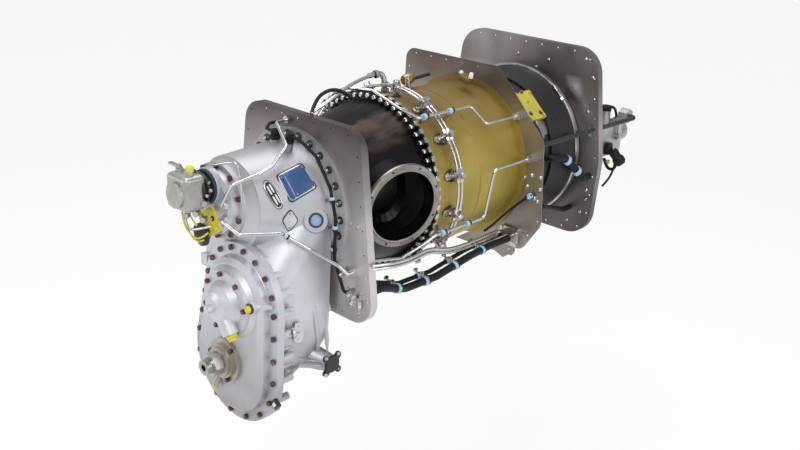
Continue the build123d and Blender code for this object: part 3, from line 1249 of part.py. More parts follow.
# Annular combustion liner, and the exit duct that turns the gas inward to the turbine vanes
LINER_FRONT = 575.0
LINER_BACK = 795.0
LINER_OUTER_R = 192.0
LINER_INNER_R = 134.0
LINER_WALL = 2.0
with BuildPart() as liner_can:
    add(turned([(LINER_BACK, LINER_OUTER_R), (LINER_FRONT + 14, LINER_OUTER_R),
                (LINER_FRONT, LINER_OUTER_R - 18),
                (LINER_FRONT, LINER_INNER_R + 18), (LINER_FRONT + 14, LINER_INNER_R),
                (LINER_BACK - 40, LINER_INNER_R), (LINER_BACK - 40, LINER_INNER_R + LINER_WALL),
                (LINER_FRONT + 15, LINER_INNER_R + LINER_WALL),
                (LINER_FRONT + LINER_WALL, LINER_INNER_R + 19),
                (LINER_FRONT + LINER_WALL, LINER_OUTER_R - 19),
                (LINER_FRONT + 15, LINER_OUTER_R - LINER_WALL),
                (LINER_BACK, LINER_OUTER_R - LINER_WALL)]))

with BuildPart() as exit_duct:
    add(turned([(LINER_BACK, LINER_OUTER_R), (LINER_BACK + 20, 182), (LINER_BACK + 32, 160),
                (LINER_BACK + 20, 134), (LINER_BACK - 10, 122), (SHROUD_BACK, SHROUD_R),
                (SHROUD_BACK, SHROUD_R - 2), (LINER_BACK - 10, 119), (LINER_BACK + 22, 131),
                (LINER_BACK + 35, 160), (LINER_BACK + 22, 185), (LINER_BACK, LINER_OUTER_R + 2)]))

# Gas generator rotor: shaft, compressor drum with three blade rows, and the impeller
ROTOR_SHAFT_R = 16.0
COMPRESSOR_TIP_R = 86.0
COMPRESSOR_HUB_R = 58.0
IMPELLER_FRONT = 842.0
IMPELLER_R = 118.0
IMPELLER_BACK = 896.0
IMPELLER_VANES = 14
STAGE_STATIONS = (908.0, 940.0, 972.0)
STAGE_CHORD = 18.0
STAGE_BLADES = 16
SHAFT_FRONT = 598.0
INPUT_GEAR_FRONT = 1258.0
INPUT_GEAR_WIDTH = 20.0
ROTOR_END = INPUT_GEAR_FRONT + INPUT_GEAR_WIDTH + 6
stage_rows = [blade_row(front, front + STAGE_CHORD, COMPRESSOR_HUB_R - 2, COMPRESSOR_TIP_R, STAGE_BLADES,
                        2.5, 50)
              for front in STAGE_STATIONS]
with BuildPart() as impeller_vane:
    with BuildSketch(meridian(0, ENGINE_Z)):
        with BuildLine():
            Polyline((IMPELLER_FRONT + 4, IMPELLER_R), (IMPELLER_FRONT + 14, IMPELLER_R),
                     (IMPELLER_FRONT + 26, 100), (IMPELLER_BACK, COMPRESSOR_TIP_R),
                     (IMPELLER_BACK, COMPRESSOR_HUB_R - 4), (IMPELLER_FRONT + 18, 74), close=True)
        make_face()
    extrude(amount=1.25, both=True)
input_phase = 0.0
input_gear_body = spur_gear(ACCESSORY_MODULE, INPUT_TEETH, input_phase, INPUT_GEAR_FRONT,
                            INPUT_GEAR_WIDTH, 0,
                            ENGINE_Z)
with BuildPart() as compressor_rotor:
    add(turned([(SHAFT_FRONT + 30, 0), (SHAFT_FRONT + 30, ROTOR_SHAFT_R),
                (IMPELLER_FRONT - 4, ROTOR_SHAFT_R),
                (IMPELLER_FRONT, 40), (IMPELLER_FRONT, IMPELLER_R), (IMPELLER_FRONT + 5, IMPELLER_R),
                (IMPELLER_FRONT + 18, 76), (IMPELLER_BACK, COMPRESSOR_HUB_R),
                (STAGE_STATIONS[-1] + STAGE_CHORD + 2, COMPRESSOR_HUB_R),
                (STAGE_STATIONS[-1] + STAGE_CHORD + 14, 30),
                (STAGE_STATIONS[-1] + STAGE_CHORD + 20, ROTOR_SHAFT_R),
                (ROTOR_END, ROTOR_SHAFT_R), (ROTOR_END, 0)]))
    add(stage_rows)
    with Locations(*spaced(IMPELLER_VANES)):
        add(impeller_vane.part)
    add(input_gear_body)
finish("compressor_rotor", compressor_rotor)

GAS_TIP_R = SHROUD_R - TIP_GAP
GAS_BLADES = 29
gas_blades = blade_row(GAS_TURBINE_FRONT + 2, GAS_TURBINE_BACK - 2, TURBINE_HUB_R - 1, GAS_TIP_R,
                       GAS_BLADES, 3.0,
                       -35)
with BuildPart() as gas_turbine_disc:
    add(turned([(SHAFT_FRONT + 4, 0), (SHAFT_FRONT + 4, 24), (GAS_TURBINE_FRONT + 6, TURBINE_HUB_R - 12),
                (GAS_TURBINE_FRONT, TURBINE_HUB_R - 6), (GAS_TURBINE_FRONT, TURBINE_HUB_R),
                (GAS_TURBINE_BACK, TURBINE_HUB_R), (GAS_TURBINE_BACK, TURBINE_HUB_R - 6),
                (GAS_TURBINE_BACK - 6, TURBINE_HUB_R - 12), (SHAFT_FRONT + 30, 28), (SHAFT_FRONT + 30, 0)]))
    add(gas_blades)
finish("gas_turbine_disc", gas_turbine_disc)

# Diffuser case: the wall ahead of the impeller, with the rotor's front bearing in its core
ROTOR_SEAT_R = ROTOR_SHAFT_R + RUNNING + BEARING_DEPTH
DIFFUSER_R = 150.0
ROTOR_BEARING_FRONT = 805.0
with BuildPart() as diffuser_case:
    add(turned([(ROTOR_BEARING_FRONT - 2, ROTOR_SEAT_R), (ROTOR_BEARING_FRONT - 2, ROTOR_SEAT_R + 5),
                (IMPELLER_FRONT - 12, ROTOR_SEAT_R + 5), (IMPELLER_FRONT - 8, ROTOR_SEAT_R + 12),
                (IMPELLER_FRONT - 8, DIFFUSER_R), (IMPELLER_FRONT + 16, DIFFUSER_R),
                (IMPELLER_FRONT + 16, DIFFUSER_R - 3), (IMPELLER_FRONT - 4, DIFFUSER_R - 3),
                (IMPELLER_FRONT - 4, ROTOR_SEAT_R + 14), (IMPELLER_FRONT - 8, ROTOR_SEAT_R)]))
finish("diffuser_case", diffuser_case)

# Compressor casing: impeller shroud, axial casing and its web out to the gas generator case
CASING_WALL = 3.0
casing_r = COMPRESSOR_TIP_R + TIP_GAP
casing_back = STAGE_STATIONS[-1] + STAGE_CHORD + 12
with BuildPart() as compressor_casing:
    add(turned([(IMPELLER_FRONT + 16, DIFFUSER_R), (IMPELLER_FRONT + 16, IMPELLER_R + TIP_GAP),
                (IMPELLER_FRONT + 28, 102), (IMPELLER_BACK + 2, casing_r), (casing_back, casing_r),
                (casing_back, casing_r + CASING_WALL), (CASE_BACK - 1, casing_r + CASING_WALL),
                (CASE_BACK - 1, CASE_R - CASE_WALL), (CASE_BACK - 5, CASE_R - CASE_WALL),
                (CASE_BACK - 5, casing_r + CASING_WALL), (IMPELLER_BACK + 2, casing_r + CASING_WALL),
                (IMPELLER_FRONT + 29, 106), (IMPELLER_FRONT + 20, DIFFUSER_R)]))
finish("compressor_casing", compressor_casing)

with BuildPart() as rotor_bearings:
    add(bearing(ROTOR_BEARING_FRONT, ROTOR_SHAFT_R))
    add(bearing(casing_back + 22, ROTOR_SHAFT_R))

# Compressor inlet case: front wall, back wall and the struts between them at the mouth
STRUTS = 7
INLET_FRONT = CASE_BACK + PLATE_THICK
INLET_WALL = 3.0
INLET_FLANGE = 6.0
hub_front = casing_back + 4
inlet_bearing_seat = casing_back + 22
with BuildPart() as inlet_strut:
    with BuildSketch(Plane(origin=(140, 0, ENGINE_Z), x_dir=(0, 1, 0), z_dir=(1, 0, 0))):
        with Locations(((INLET_MOUTH + SCREEN_BACK) / 2, 0)):
            Rectangle(SCREEN_BACK - INLET_MOUTH + 10, 9)
    extrude(amount=INLET_R - 6 - 140)
with BuildPart() as inlet_case:
    add(turned([(INLET_FRONT, INLET_R - INLET_WALL), (INLET_FRONT, CASE_FLANGE_R),
                (INLET_FRONT + INLET_FLANGE, CASE_FLANGE_R), (INLET_FRONT + INLET_FLANGE, INLET_R),
                (INLET_MOUTH, INLET_R), (INLET_MOUTH, INLET_R - 8), (1058, 160), (1030, 122),
                (casing_back, casing_r + CASING_WALL + 0.5), (casing_back, casing_r + 8),
                (1028, 128), (1054, 164), (INLET_MOUTH - 4, INLET_R - 4),
                (INLET_MOUTH - 4, INLET_R - INLET_WALL)]))
    add(turned([(SCREEN_BACK, INLET_R), (SCREEN_BACK + 4, INLET_R), (1128, 120), (1090, 78), (1050, 60),
                (hub_front, 52), (hub_front, 48), (1050, 56), (1092, 74), (1131, 117),
                (SCREEN_BACK + 7, INLET_R - 8),
                (ACCESSORY_FRONT, INLET_R - 8), (ACCESSORY_FRONT, TANK_R), (SCREEN_BACK, TANK_R)]))
    with Locations(*spaced(STRUTS, 12)):
        add(inlet_strut.part)
    add(turned([(inlet_bearing_seat, ROTOR_SEAT_R), (inlet_bearing_seat, 56),
                (inlet_bearing_seat + 5, 57), (inlet_bearing_seat + 5, ROTOR_SEAT_R + 5),
                (inlet_bearing_seat + BEARING_WIDTH, ROTOR_SEAT_R + 5),
                (inlet_bearing_seat + BEARING_WIDTH, ROTOR_SEAT_R)]))
finish("inlet_case", inlet_case)

# Inlet screen and the band that clamps it
with BuildPart() as inlet_screen:
    add(turned([(INLET_MOUTH - 8, INLET_R), (INLET_MOUTH - 8, SCREEN_FRONT_R),
                (SCREEN_BACK - 1, SCREEN_BACK_R),
                (SCREEN_BACK - 1, SCREEN_BACK_R - SCREEN_WALL),
                (INLET_MOUTH - 2, SCREEN_FRONT_R - SCREEN_WALL),
                (INLET_MOUTH - 2, INLET_R)]))
finish("inlet_screen", inlet_screen)

CLAMP_WIDTH = 12.0
with BuildPart() as screen_clamp:
    add(turned([(SCREEN_BACK - 1, TANK_R), (SCREEN_BACK - 1, CLAMP_R - 4), (SCREEN_BACK + 1, CLAMP_R),
                (SCREEN_BACK + CLAMP_WIDTH, CLAMP_R), (SCREEN_BACK + CLAMP_WIDTH, TANK_R)]))
finish("screen_clamp", screen_clamp)

# Bleed valve cover on the inlet case
BLEED_COVER_ANGLE = 47.0
BLEED_COVER_STATION = 1030.0
bleed_seat = radial_plane(INLET_R + 0.3, BLEED_COVER_STATION, BLEED_COVER_ANGLE)
with BuildPart() as bleed_valve_cover:
    with BuildSketch(bleed_seat):
        Rectangle(78, 94)
    extrude(amount=12)
    with BuildSketch(bleed_seat.offset(12)):
        with GridLocations(62, 78, 2, 2):
            RegularPolygon(5, 6)
    extrude(amount=4)
finish("bleed_valve_cover", bleed_valve_cover)

# Accessory gearbox housing: a drum behind the rear plate with a web that carries the front bearings
ACCESSORY_SHAFT_R = 14.0
ACCESSORY_SEAT_R = ACCESSORY_SHAFT_R + RUNNING + BEARING_DEPTH
ACCESSORY_WEB_FRONT = 1232.0
ACCESSORY_BEARING_FRONT = ACCESSORY_WEB_FRONT + 6.0
COVER_WALL_R = 190.0
rear_bearing_front = ACCESSORY_BACK - ACCESSORY_WALL - BEARING_WIDTH
accessory_shafts = ((0, STARTER_Z, ACCESSORY_SEAT_R), (PUMP_X, PUMP_Z, ACCESSORY_SEAT_R))
front_seats = accessory_shafts + ((0, ENGINE_Z, ROTOR_SEAT_R),)
with BuildPart() as accessory_gearbox_housing:
    add(turned([(ACCESSORY_FRONT, ACCESSORY_R - 18), (ACCESSORY_FRONT, TANK_R),
                (ACCESSORY_FRONT + 6, TANK_R),
                (ACCESSORY_FRONT + 6, ACCESSORY_R), (ACCESSORY_SPLIT - 8, ACCESSORY_R),
                (ACCESSORY_SPLIT - 8, TANK_R),
                (ACCESSORY_SPLIT, TANK_R), (ACCESSORY_SPLIT, ACCESSORY_R - ACCESSORY_WALL),
                (ACCESSORY_WEB_FRONT + 6, ACCESSORY_R - ACCESSORY_WALL), (ACCESSORY_WEB_FRONT + 6, 10),
                (ACCESSORY_WEB_FRONT, 10), (ACCESSORY_WEB_FRONT, ACCESSORY_R - ACCESSORY_WALL),
                (ACCESSORY_FRONT + 6, ACCESSORY_R - 18)]))
    for x, z, seat_r in front_seats:
        with BuildSketch(station(ACCESSORY_WEB_FRONT, x, z)):
            Circle(seat_r + 5)
        extrude(amount=ACCESSORY_WEB_FRONT - ACCESSORY_BEARING_FRONT - BEARING_WIDTH)
    for x, z, seat_r in front_seats:
        with BuildSketch(station(ACCESSORY_WEB_FRONT, x, z)):
            Circle(seat_r)
        extrude(amount=ACCESSORY_WEB_FRONT - ACCESSORY_BEARING_FRONT - BEARING_WIDTH, mode=Mode.SUBTRACT)
finish("accessory_gearbox_housing", accessory_gearbox_housing)

# Accessory gearbox cover with the starter pad and the seats of the rear bearings
STARTER_PAD_R = 56.0
STARTER_PAD_FACE = 1357.0
STARTER_BORE_R = 32.0
STARTER_BOLT_R = 46.0
STARTER_BOLTS = 6
STARTER_BOLT_HOLE_R = 3.5
with BuildPart() as accessory_gearbox_cover:
    add(turned([(ACCESSORY_SPLIT, TANK_R), (ACCESSORY_SPLIT + 8, TANK_R),
                (ACCESSORY_SPLIT + 8, COVER_WALL_R),
                (ACCESSORY_BACK - 12, COVER_WALL_R), (ACCESSORY_BACK, COVER_WALL_R - 12),
                (ACCESSORY_BACK, 0),
                (ACCESSORY_BACK - ACCESSORY_WALL, 0), (ACCESSORY_BACK - ACCESSORY_WALL, COVER_WALL_R - 15),
                (ACCESSORY_BACK - 15, COVER_WALL_R - ACCESSORY_WALL),
                (ACCESSORY_SPLIT, COVER_WALL_R - ACCESSORY_WALL)]))
    with BuildSketch(station(ACCESSORY_BACK, 0, STARTER_Z)):
        Circle(STARTER_PAD_R)
    extrude(amount=ACCESSORY_BACK - STARTER_PAD_FACE)
    for x, z, seat_r in accessory_shafts:
        with BuildSketch(station(ACCESSORY_BACK - 1, x, z)):
            Circle(seat_r + 5)
        extrude(amount=BEARING_WIDTH + ACCESSORY_WALL - 1)
    for x, z, seat_r in accessory_shafts:
        with BuildSketch(station(ACCESSORY_BACK - ACCESSORY_WALL, x, z)):
            Circle(seat_r)
        extrude(amount=BEARING_WIDTH, mode=Mode.SUBTRACT)
        with BuildSketch(station(ACCESSORY_BACK + 1, x, z)):
            Circle(ACCESSORY_SHAFT_R + 3)
        extrude(amount=ACCESSORY_WALL + 2, mode=Mode.SUBTRACT)
    with BuildSketch(station(STARTER_PAD_FACE, 0, STARTER_Z)):
        Circle(STARTER_BORE_R)
        with PolarLocations(STARTER_BOLT_R, STARTER_BOLTS):
            Circle(STARTER_BOLT_HOLE_R)
    extrude(amount=STARTER_PAD_FACE - ACCESSORY_BACK, mode=Mode.SUBTRACT)
finish("accessory_gearbox_cover", accessory_gearbox_cover)

# Accessory gears: the input gear sits on the rotor, and drives the starter gear and the pump gear
SPLINE_LENGTH = 8.0
gear_front = INPUT_GEAR_FRONT + 1
gear_width = INPUT_GEAR_WIDTH - 2
starter_phase = meshed(input_phase, INPUT_TEETH, 90, STARTER_TEETH)
starter_wheel = spur_gear(ACCESSORY_MODULE, STARTER_TEETH, starter_phase, gear_front, gear_width, 0,
                          STARTER_Z)
with BuildPart() as starter_drive_gear:
    add(drum(ACCESSORY_BEARING_FRONT, ACCESSORY_BACK - 1, ACCESSORY_SHAFT_R, 0, STARTER_Z))
    add(starter_wheel)
finish("starter_drive_gear", starter_drive_gear)

pump_phase = meshed(input_phase, INPUT_TEETH, PUMP_ANGLE, PUMP_TEETH)
pump_wheel = spur_gear(ACCESSORY_MODULE, PUMP_TEETH, pump_phase, gear_front, gear_width, PUMP_X, PUMP_Z)
with BuildPart() as pump_drive_gear:
    add(drum(ACCESSORY_BEARING_FRONT, ACCESSORY_BACK + SPLINE_LENGTH, ACCESSORY_SHAFT_R, PUMP_X, PUMP_Z))
    add(pump_wheel)
finish("pump_drive_gear", pump_drive_gear)

with BuildPart() as accessory_bearings:
    add(bearing(ACCESSORY_BEARING_FRONT, ROTOR_SHAFT_R))
    for x, z, seat_r in accessory_shafts:
        add(bearing(ACCESSORY_BEARING_FRONT, ACCESSORY_SHAFT_R, x, z))
        add(bearing(rear_bearing_front, ACCESSORY_SHAFT_R, x, z))

# Fuel pump on the cover's pump pad, and the fuel control unit behind it
PUMP_FLANGE_R = 56.0
PUMP_BODY_R = 46.0
PUMP_BACK = 1400.0
CONTROL_BACK = 1540.0
CONTROL_INNER_X = 58.0
CONTROL_OUTER_X = 168.0
CONTROL_BOTTOM = 290.0
CONTROL_TOP = 396.0
SERVO_R = 36.0
SERVO_BACK = 1634.0
FILTER_R = 16.0
FILTER_X = 150.0
FILTER_STATION = 1450.0
FILTER_TOP = 448.0
HEX_X = 228.0
HEX_Z = 436.0
PUMP_BOLT_R = 51.0
with BuildPart() as fuel_pump:
    add(drum(ACCESSORY_BACK, ACCESSORY_BACK + 8, PUMP_FLANGE_R, PUMP_X, PUMP_Z))
    add(drum(ACCESSORY_BACK + 8, PUMP_BACK, PUMP_BODY_R, PUMP_X, PUMP_Z))
    add(drum(ACCESSORY_BACK, ACCESSORY_BACK + 14, ACCESSORY_SHAFT_R + 3, PUMP_X, PUMP_Z),
        mode=Mode.SUBTRACT)
    for turn in range(30, 390, 90):
        bolt_x, bolt_z = polar(PUMP_BOLT_R, turn, PUMP_X, PUMP_Z)
        add(drum(ACCESSORY_BACK + 8, ACCESSORY_BACK + 13, 4.5, bolt_x, bolt_z))
finish("fuel_pump", fuel_pump)

control_block = block((CONTROL_INNER_X, PUMP_BACK, CONTROL_BOTTOM),
                      (CONTROL_OUTER_X, CONTROL_BACK, CONTROL_TOP), 7)
LEVER_STATION = 1500.0
LEVER_Z = 350.0
LEVER_PIN_R = 6.0
LEVER_SEAT = 20.0
with BuildPart() as fuel_control_unit:
    add(control_block)
    add(turned([(CONTROL_BACK - 1, 0), (CONTROL_BACK - 1, SERVO_R), (SERVO_BACK - 8, SERVO_R),
                (SERVO_BACK, SERVO_R - 8), (SERVO_BACK, 0)], PUMP_X, PUMP_Z))
    add(rod((FILTER_X, FILTER_STATION, CONTROL_TOP - 1), (FILTER_X, FILTER_STATION, FILTER_TOP), FILTER_R))
    add(rod((FILTER_X, FILTER_STATION, CONTROL_TOP - 1), (FILTER_X, FILTER_STATION, CONTROL_TOP + 8),
            FILTER_R + 4))
    add(rod((CONTROL_OUTER_X - 30, FILTER_STATION + 20, CONTROL_TOP - 12),
            (HEX_X - 22, FILTER_STATION + 10, HEX_Z - 2), 9))
    add(hex_rod((HEX_X - 28, FILTER_STATION + 10, HEX_Z), (HEX_X, FILTER_STATION + 10, HEX_Z), 40))
    add(rod((CONTROL_OUTER_X - LEVER_SEAT, LEVER_STATION, LEVER_Z),
            (CONTROL_OUTER_X + 6, LEVER_STATION, LEVER_Z),
            LEVER_PIN_R + 5))
    add(rod((CONTROL_OUTER_X - LEVER_SEAT, LEVER_STATION, LEVER_Z),
            (CONTROL_OUTER_X + 7, LEVER_STATION, LEVER_Z),
            LEVER_PIN_R + RUNNING), mode=Mode.SUBTRACT)
finish("fuel_control_unit", fuel_control_unit)

# Power lever on its pin in the side of the fuel control unit
LEVER_ARM = 52.0
lever_plane = Plane(origin=(CONTROL_OUTER_X + 7, LEVER_STATION, LEVER_Z), x_dir=(0, 0, 1), z_dir=(1, 0, 0))
with BuildPart() as power_lever:
    add(rod((CONTROL_OUTER_X - LEVER_SEAT, LEVER_STATION, LEVER_Z),
            (CONTROL_OUTER_X + 17, LEVER_STATION, LEVER_Z),
            LEVER_PIN_R))
    with BuildSketch(lever_plane):
        with Locations((LEVER_ARM / 2, 0)):
            SlotCenterToCenter(LEVER_ARM, 15)
        with Locations((LEVER_ARM, 0)):
            Circle(3, mode=Mode.SUBTRACT)
    extrude(amount=4)
    with BuildSketch(lever_plane):
        Circle(LEVER_PIN_R + 5)
    extrude(amount=7)
finish("power_lever", power_lever)

# Air lines along the visible side, each with a union nut seated on the plates
AIR_LINE = 8.0
AIR_BEND = 14.0
UNION_ACROSS = 20.0
UNION_LENGTH = 16.0
plate_back = front_plate_y + PLATE_THICK
UPPER_START = (18.0, plate_back, 562.0)
UPPER_END = (200.0, middle_plate_y, 518.0)
LOWER_START = (231.0, plate_back, 262.0)
LOWER_END = (250.0, middle_plate_y, 408.0)
CLAMP_STATIONS = (570.0, 668.0)
upper_line = tube([UPPER_START, (18, 330, 562), (15, 385, 615), (-16, 464, 614), (38, 502, 612),
                   (127, 512, 581),
                   (158, 545, 560), (158, 748, 560), (200, 766, 518), UPPER_END], AIR_BEND, AIR_LINE)
lower_line = tube([LOWER_START, (231, 330, 262), (228, 430, 240), (236, 490, 258), (241, 540, 276),
                   (241, 735, 276), (250, 752, 408), LOWER_END], AIR_BEND, AIR_LINE)
with BuildPart() as air_lines:
    add(upper_line)
    add(lower_line)
    for x, y, z in (UPPER_START, LOWER_START):
        add(hex_rod((x, y, z), (x, y + UNION_LENGTH, z), UNION_ACROSS))
    for x, y, z in (UPPER_END, LOWER_END):
        add(hex_rod((x, y - UNION_LENGTH, z), (x, y, z), UNION_ACROSS))
        add(hex_rod((x, y - 2 * UNION_LENGTH, z), (x, y - UNION_LENGTH - 2, z), UNION_ACROSS - 5))
finish("air_lines", air_lines)

# Underside hoses and tubes from the first plate to the flanged unit on the second
HOSE = 20.0
TUBE = 12.0
HOSE_BEND = 40.0
UNIT_X = 200.0
UNIT_Z = 165.0
UNIT_FRONT = 888.0


def underside_route(shift_x, shift_z):
    """The path of one underside line, moved sideways and up from the middle of the bundle."""
    return [(242 + shift_x, plate_back, 196 + shift_z), (242 + shift_x, 340, 196 + shift_z),
            (218 + shift_x, 450, 152 + shift_z), (226 + shift_x, 560, 156 + shift_z),
            (226 + shift_x, 690, 176 + shift_z), (UNIT_X + shift_x, 810, UNIT_Z + shift_z),
            (UNIT_X + shift_x, UNIT_FRONT, UNIT_Z + shift_z)]


bundle = [tube(underside_route(11, 0), HOSE_BEND, HOSE), tube(underside_route(-14, 5), HOSE_BEND, TUBE)]
with BuildPart() as underside_hoses:
    add(bundle)

with BuildPart() as hose_unit:
    with BuildSketch(station(middle_plate_y, UNIT_X, UNIT_Z)):
        RectangleRounded(66, 54, 12)
    extrude(amount=9)
    with BuildSketch(station(middle_plate_y - 9, UNIT_X, UNIT_Z)):
        RectangleRounded(54, 32, 9)
    extrude(amount=middle_plate_y - 9 - UNIT_FRONT)
    with BuildSketch(station(middle_plate_y - 9, UNIT_X, UNIT_Z)):
        with GridLocations(52, 42, 2, 2):
            RegularPolygon(5.5, 6)
    extrude(amount=4)
finish("hose_unit", hose_unit)

# Clamps that hold the air lines off the case
CLAMP_LENGTH = 12.0
CLAMP_WALL = 3.0
clamped_lines = ((158.0, 560.0), (241.0, 276.0))


def line_clamp(y, x, z):
    """A band round an air line with a leg that stands on the case."""
    reach = hypot(x, z - ENGINE_Z)
    toward = degrees(atan2(z - ENGINE_Z, x))
    leg_low, leg_high = CASE_R, reach - AIR_LINE / 2 - CLAMP_WALL / 2
    with BuildPart() as clamp:
        add(ring(y - CLAMP_LENGTH / 2, y + CLAMP_LENGTH / 2, AIR_LINE / 2 + CLAMP_WALL, AIR_LINE / 2, x, z))
        with BuildSketch(station(y + CLAMP_LENGTH / 2, 0, ENGINE_Z)):
            with Locations(Location((0, 0, 0), (0, 0, toward))):
                with Locations(((leg_low + leg_high) / 2, 0)):
                    Rectangle(leg_high - leg_low, CLAMP_WALL)
        extrude(amount=CLAMP_LENGTH)
    return clamp.part


with BuildPart() as pipe_clamps:
    for x, z in clamped_lines:
        for y in CLAMP_STATIONS:
            add(line_clamp(y, x, z))
finish("pipe_clamps", pipe_clamps)

# Pipes and cables over the reduction gearbox, from its drive cover and neck to the first plate
GEARBOX_PIPE = 8.0
drive_face = DRIVE_COVER_FACE
plate_front = front_plate_y
lower_gearbox_pipe = tube([(15, drive_face, 372), (15, 46, 372), (78, 52, 352), (120, 140, 346),
                           (150, 200, 300),
                           (200, 245, 262), (216, 260, 240), (216, plate_front, 240)], 10, GEARBOX_PIPE)
upper_gearbox_pipe = tube([(18, drive_face, 402), (18, 46, 402), (50, 54, 462), (74, 112, 482),
                           (74, 150, 494),
                           (66, 200, 530), (-24, 244, 560), (-24, plate_front, 560)], 10, GEARBOX_PIPE)
with BuildPart() as gearbox_pipes:
    add(lower_gearbox_pipe)
    add(upper_gearbox_pipe)
    for x, z in ((15, 372), (18, 402)):
        add(hex_rod((x, drive_face - 10, z), (x, drive_face, z), 15))
    add(hex_rod((216, plate_front - 12, 240), (216, plate_front, 240), 18))
    add(hex_rod((-24, plate_front - 12, 560), (-24, plate_front, 560), 18))
finish("gearbox_pipes", gearbox_pipes)

CABLE = 8.0
sensor_out = (Vector(*SENSOR_SEAT) - Vector(*SENSOR_ROOT)).normalized()
sensor_top = Vector(*SENSOR_SEAT) + sensor_out * 26
sensor_middle = Vector(*SENSOR_SEAT) + sensor_out * 17
connector_top = Vector(*CONNECTOR_SEAT) + Vector(0, 0, 24)
with BuildPart() as electrical_harness:
    add(hex_rod(SENSOR_SEAT, tuple(Vector(*SENSOR_SEAT) + sensor_out * 9), 22))
    add(rod(SENSOR_SEAT, tuple(sensor_top), 9))
    add(tube([tuple(sensor_middle), (70, 234, 540), (112, 250, 506), (154, 256, 440), (174, 256, 372),
              (174, 256, 266), (206, 260, 190), (206, plate_front, 190)], 10, CABLE))
    add(hex_rod(CONNECTOR_SEAT, (CONNECTOR_SEAT[0], CONNECTOR_SEAT[1], CONNECTOR_SEAT[2] + 9), 24))
    add(rod(CONNECTOR_SEAT, tuple(connector_top), 10))
    add(tube([(CONNECTOR_SEAT[0], CONNECTOR_SEAT[1], CONNECTOR_SEAT[2] + 16), (-56, 240, 538),
              (-70, 262, 544),
              (-70, plate_front, 544)], 10, CABLE))
finish("electrical_harness", electrical_harness)

# Control tube through the rear plate's oval hole to the fuel control, and the hoses between the plates
CONTROL_ROD = 14.0
plate_tail = middle_plate_y + PLATE_THICK
with BuildPart() as control_rod:
    add(tube([(ROD_X, plate_tail, ROD_Z), (ROD_X, FILTER_STATION + 10, HEX_Z),
              (HEX_X, FILTER_STATION + 10, HEX_Z)],
             16, CONTROL_ROD))
finish("control_rod", control_rod)

with BuildPart() as rear_hoses:
    add(tube([(272, plate_tail, 262), (272, 960, 262), (205, 1175, 186), (205, REAR_PLATE_STATION, 186)],
             16, 16))
    add(tube([(204.7, 1046, 375), (236, 1046, 377), (238, 1110, 368), (260, 1176, 300),
              (260, REAR_PLATE_STATION, 300)],
             13, 20))

# Transit caps on the open ports
port_out = (Vector(*NOSE_PORT_END) - Vector(*NOSE_PORT_START)).normalized()
governor_port = Vector(GOVERNOR_X + 14, LEVER_SHAFT_Y, GOVERNOR_TOP + 10)
with BuildPart() as transit_caps:
    add(rod(NOSE_PORT_END, tuple(Vector(*NOSE_PORT_END) + port_out * 8), NOSE_PORT_R - 6))
    add(hex_rod(tuple(Vector(*NOSE_PORT_END) + port_out * 7),
                tuple(Vector(*NOSE_PORT_END) + port_out * 15), 20))
    add(rod(tuple(governor_port), tuple(governor_port + Vector(0, 0, 11)), 9))
    add(spare_pad_plate.part)
finish("transit_caps", transit_caps)

# Groups of like pieces, each written to one file
with BuildPart() as gearbox_bearings:
    add([output_bearings.part, idler_bearings.part, carrier_bearings.part, governor_bearing.part])
finish("gearbox_bearings", gearbox_bearings)

with BuildPart() as engine_bearings:
    add([power_turbine_bearings.part, rotor_bearings.part, accessory_bearings.part])
finish("engine_bearings", engine_bearings)

with BuildPart() as gearbox_bolts:
    add([split_line_bolts.part, cover_bolts.part, drive_cover_bolts.part])
finish("gearbox_bolts", gearbox_bolts)

with BuildPart() as flange_bolts:
    add([neck_bolts.part, main_flange_bolts.part])
finish("flange_bolts", flange_bolts)

with BuildPart() as turbine_vanes:
    add([power_turbine_vanes.part, gas_turbine_vanes.part])
finish("turbine_vanes", turbine_vanes)

with BuildPart() as hoses:
    add([underside_hoses.part, rear_hoses.part])
finish("hoses", hoses)

with BuildPart() as combustion_liner:
    add([liner_can.part, exit_duct.part])
finish("combustion_liner", combustion_liner)
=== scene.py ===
import json
import math

import bmesh
import bpy
from mathutils import Matrix, Vector
from mathutils.bvhtree import BVHTree


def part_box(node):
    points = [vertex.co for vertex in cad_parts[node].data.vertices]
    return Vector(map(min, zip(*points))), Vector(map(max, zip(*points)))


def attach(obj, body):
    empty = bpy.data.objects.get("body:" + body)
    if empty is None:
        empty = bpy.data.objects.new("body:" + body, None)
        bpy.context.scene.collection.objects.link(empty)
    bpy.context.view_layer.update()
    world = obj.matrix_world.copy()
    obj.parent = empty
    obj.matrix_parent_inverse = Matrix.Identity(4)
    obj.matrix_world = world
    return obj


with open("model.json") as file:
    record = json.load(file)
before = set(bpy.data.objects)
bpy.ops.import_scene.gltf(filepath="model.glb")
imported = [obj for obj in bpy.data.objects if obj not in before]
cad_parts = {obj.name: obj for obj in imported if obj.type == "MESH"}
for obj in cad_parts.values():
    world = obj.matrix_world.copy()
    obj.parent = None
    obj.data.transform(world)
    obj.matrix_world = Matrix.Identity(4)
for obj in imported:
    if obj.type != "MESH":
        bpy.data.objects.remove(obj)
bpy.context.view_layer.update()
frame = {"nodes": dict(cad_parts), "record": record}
scene = bpy.context.scene
MM = 0.001
AXIS_Z = 0.360
RIGHTWARD, UPWARD = Vector((1, 0, 0)), Vector((0, 0, 1))
FORWARD, AFT = Vector((0, -1, 0)), Vector((0, 1, 0))

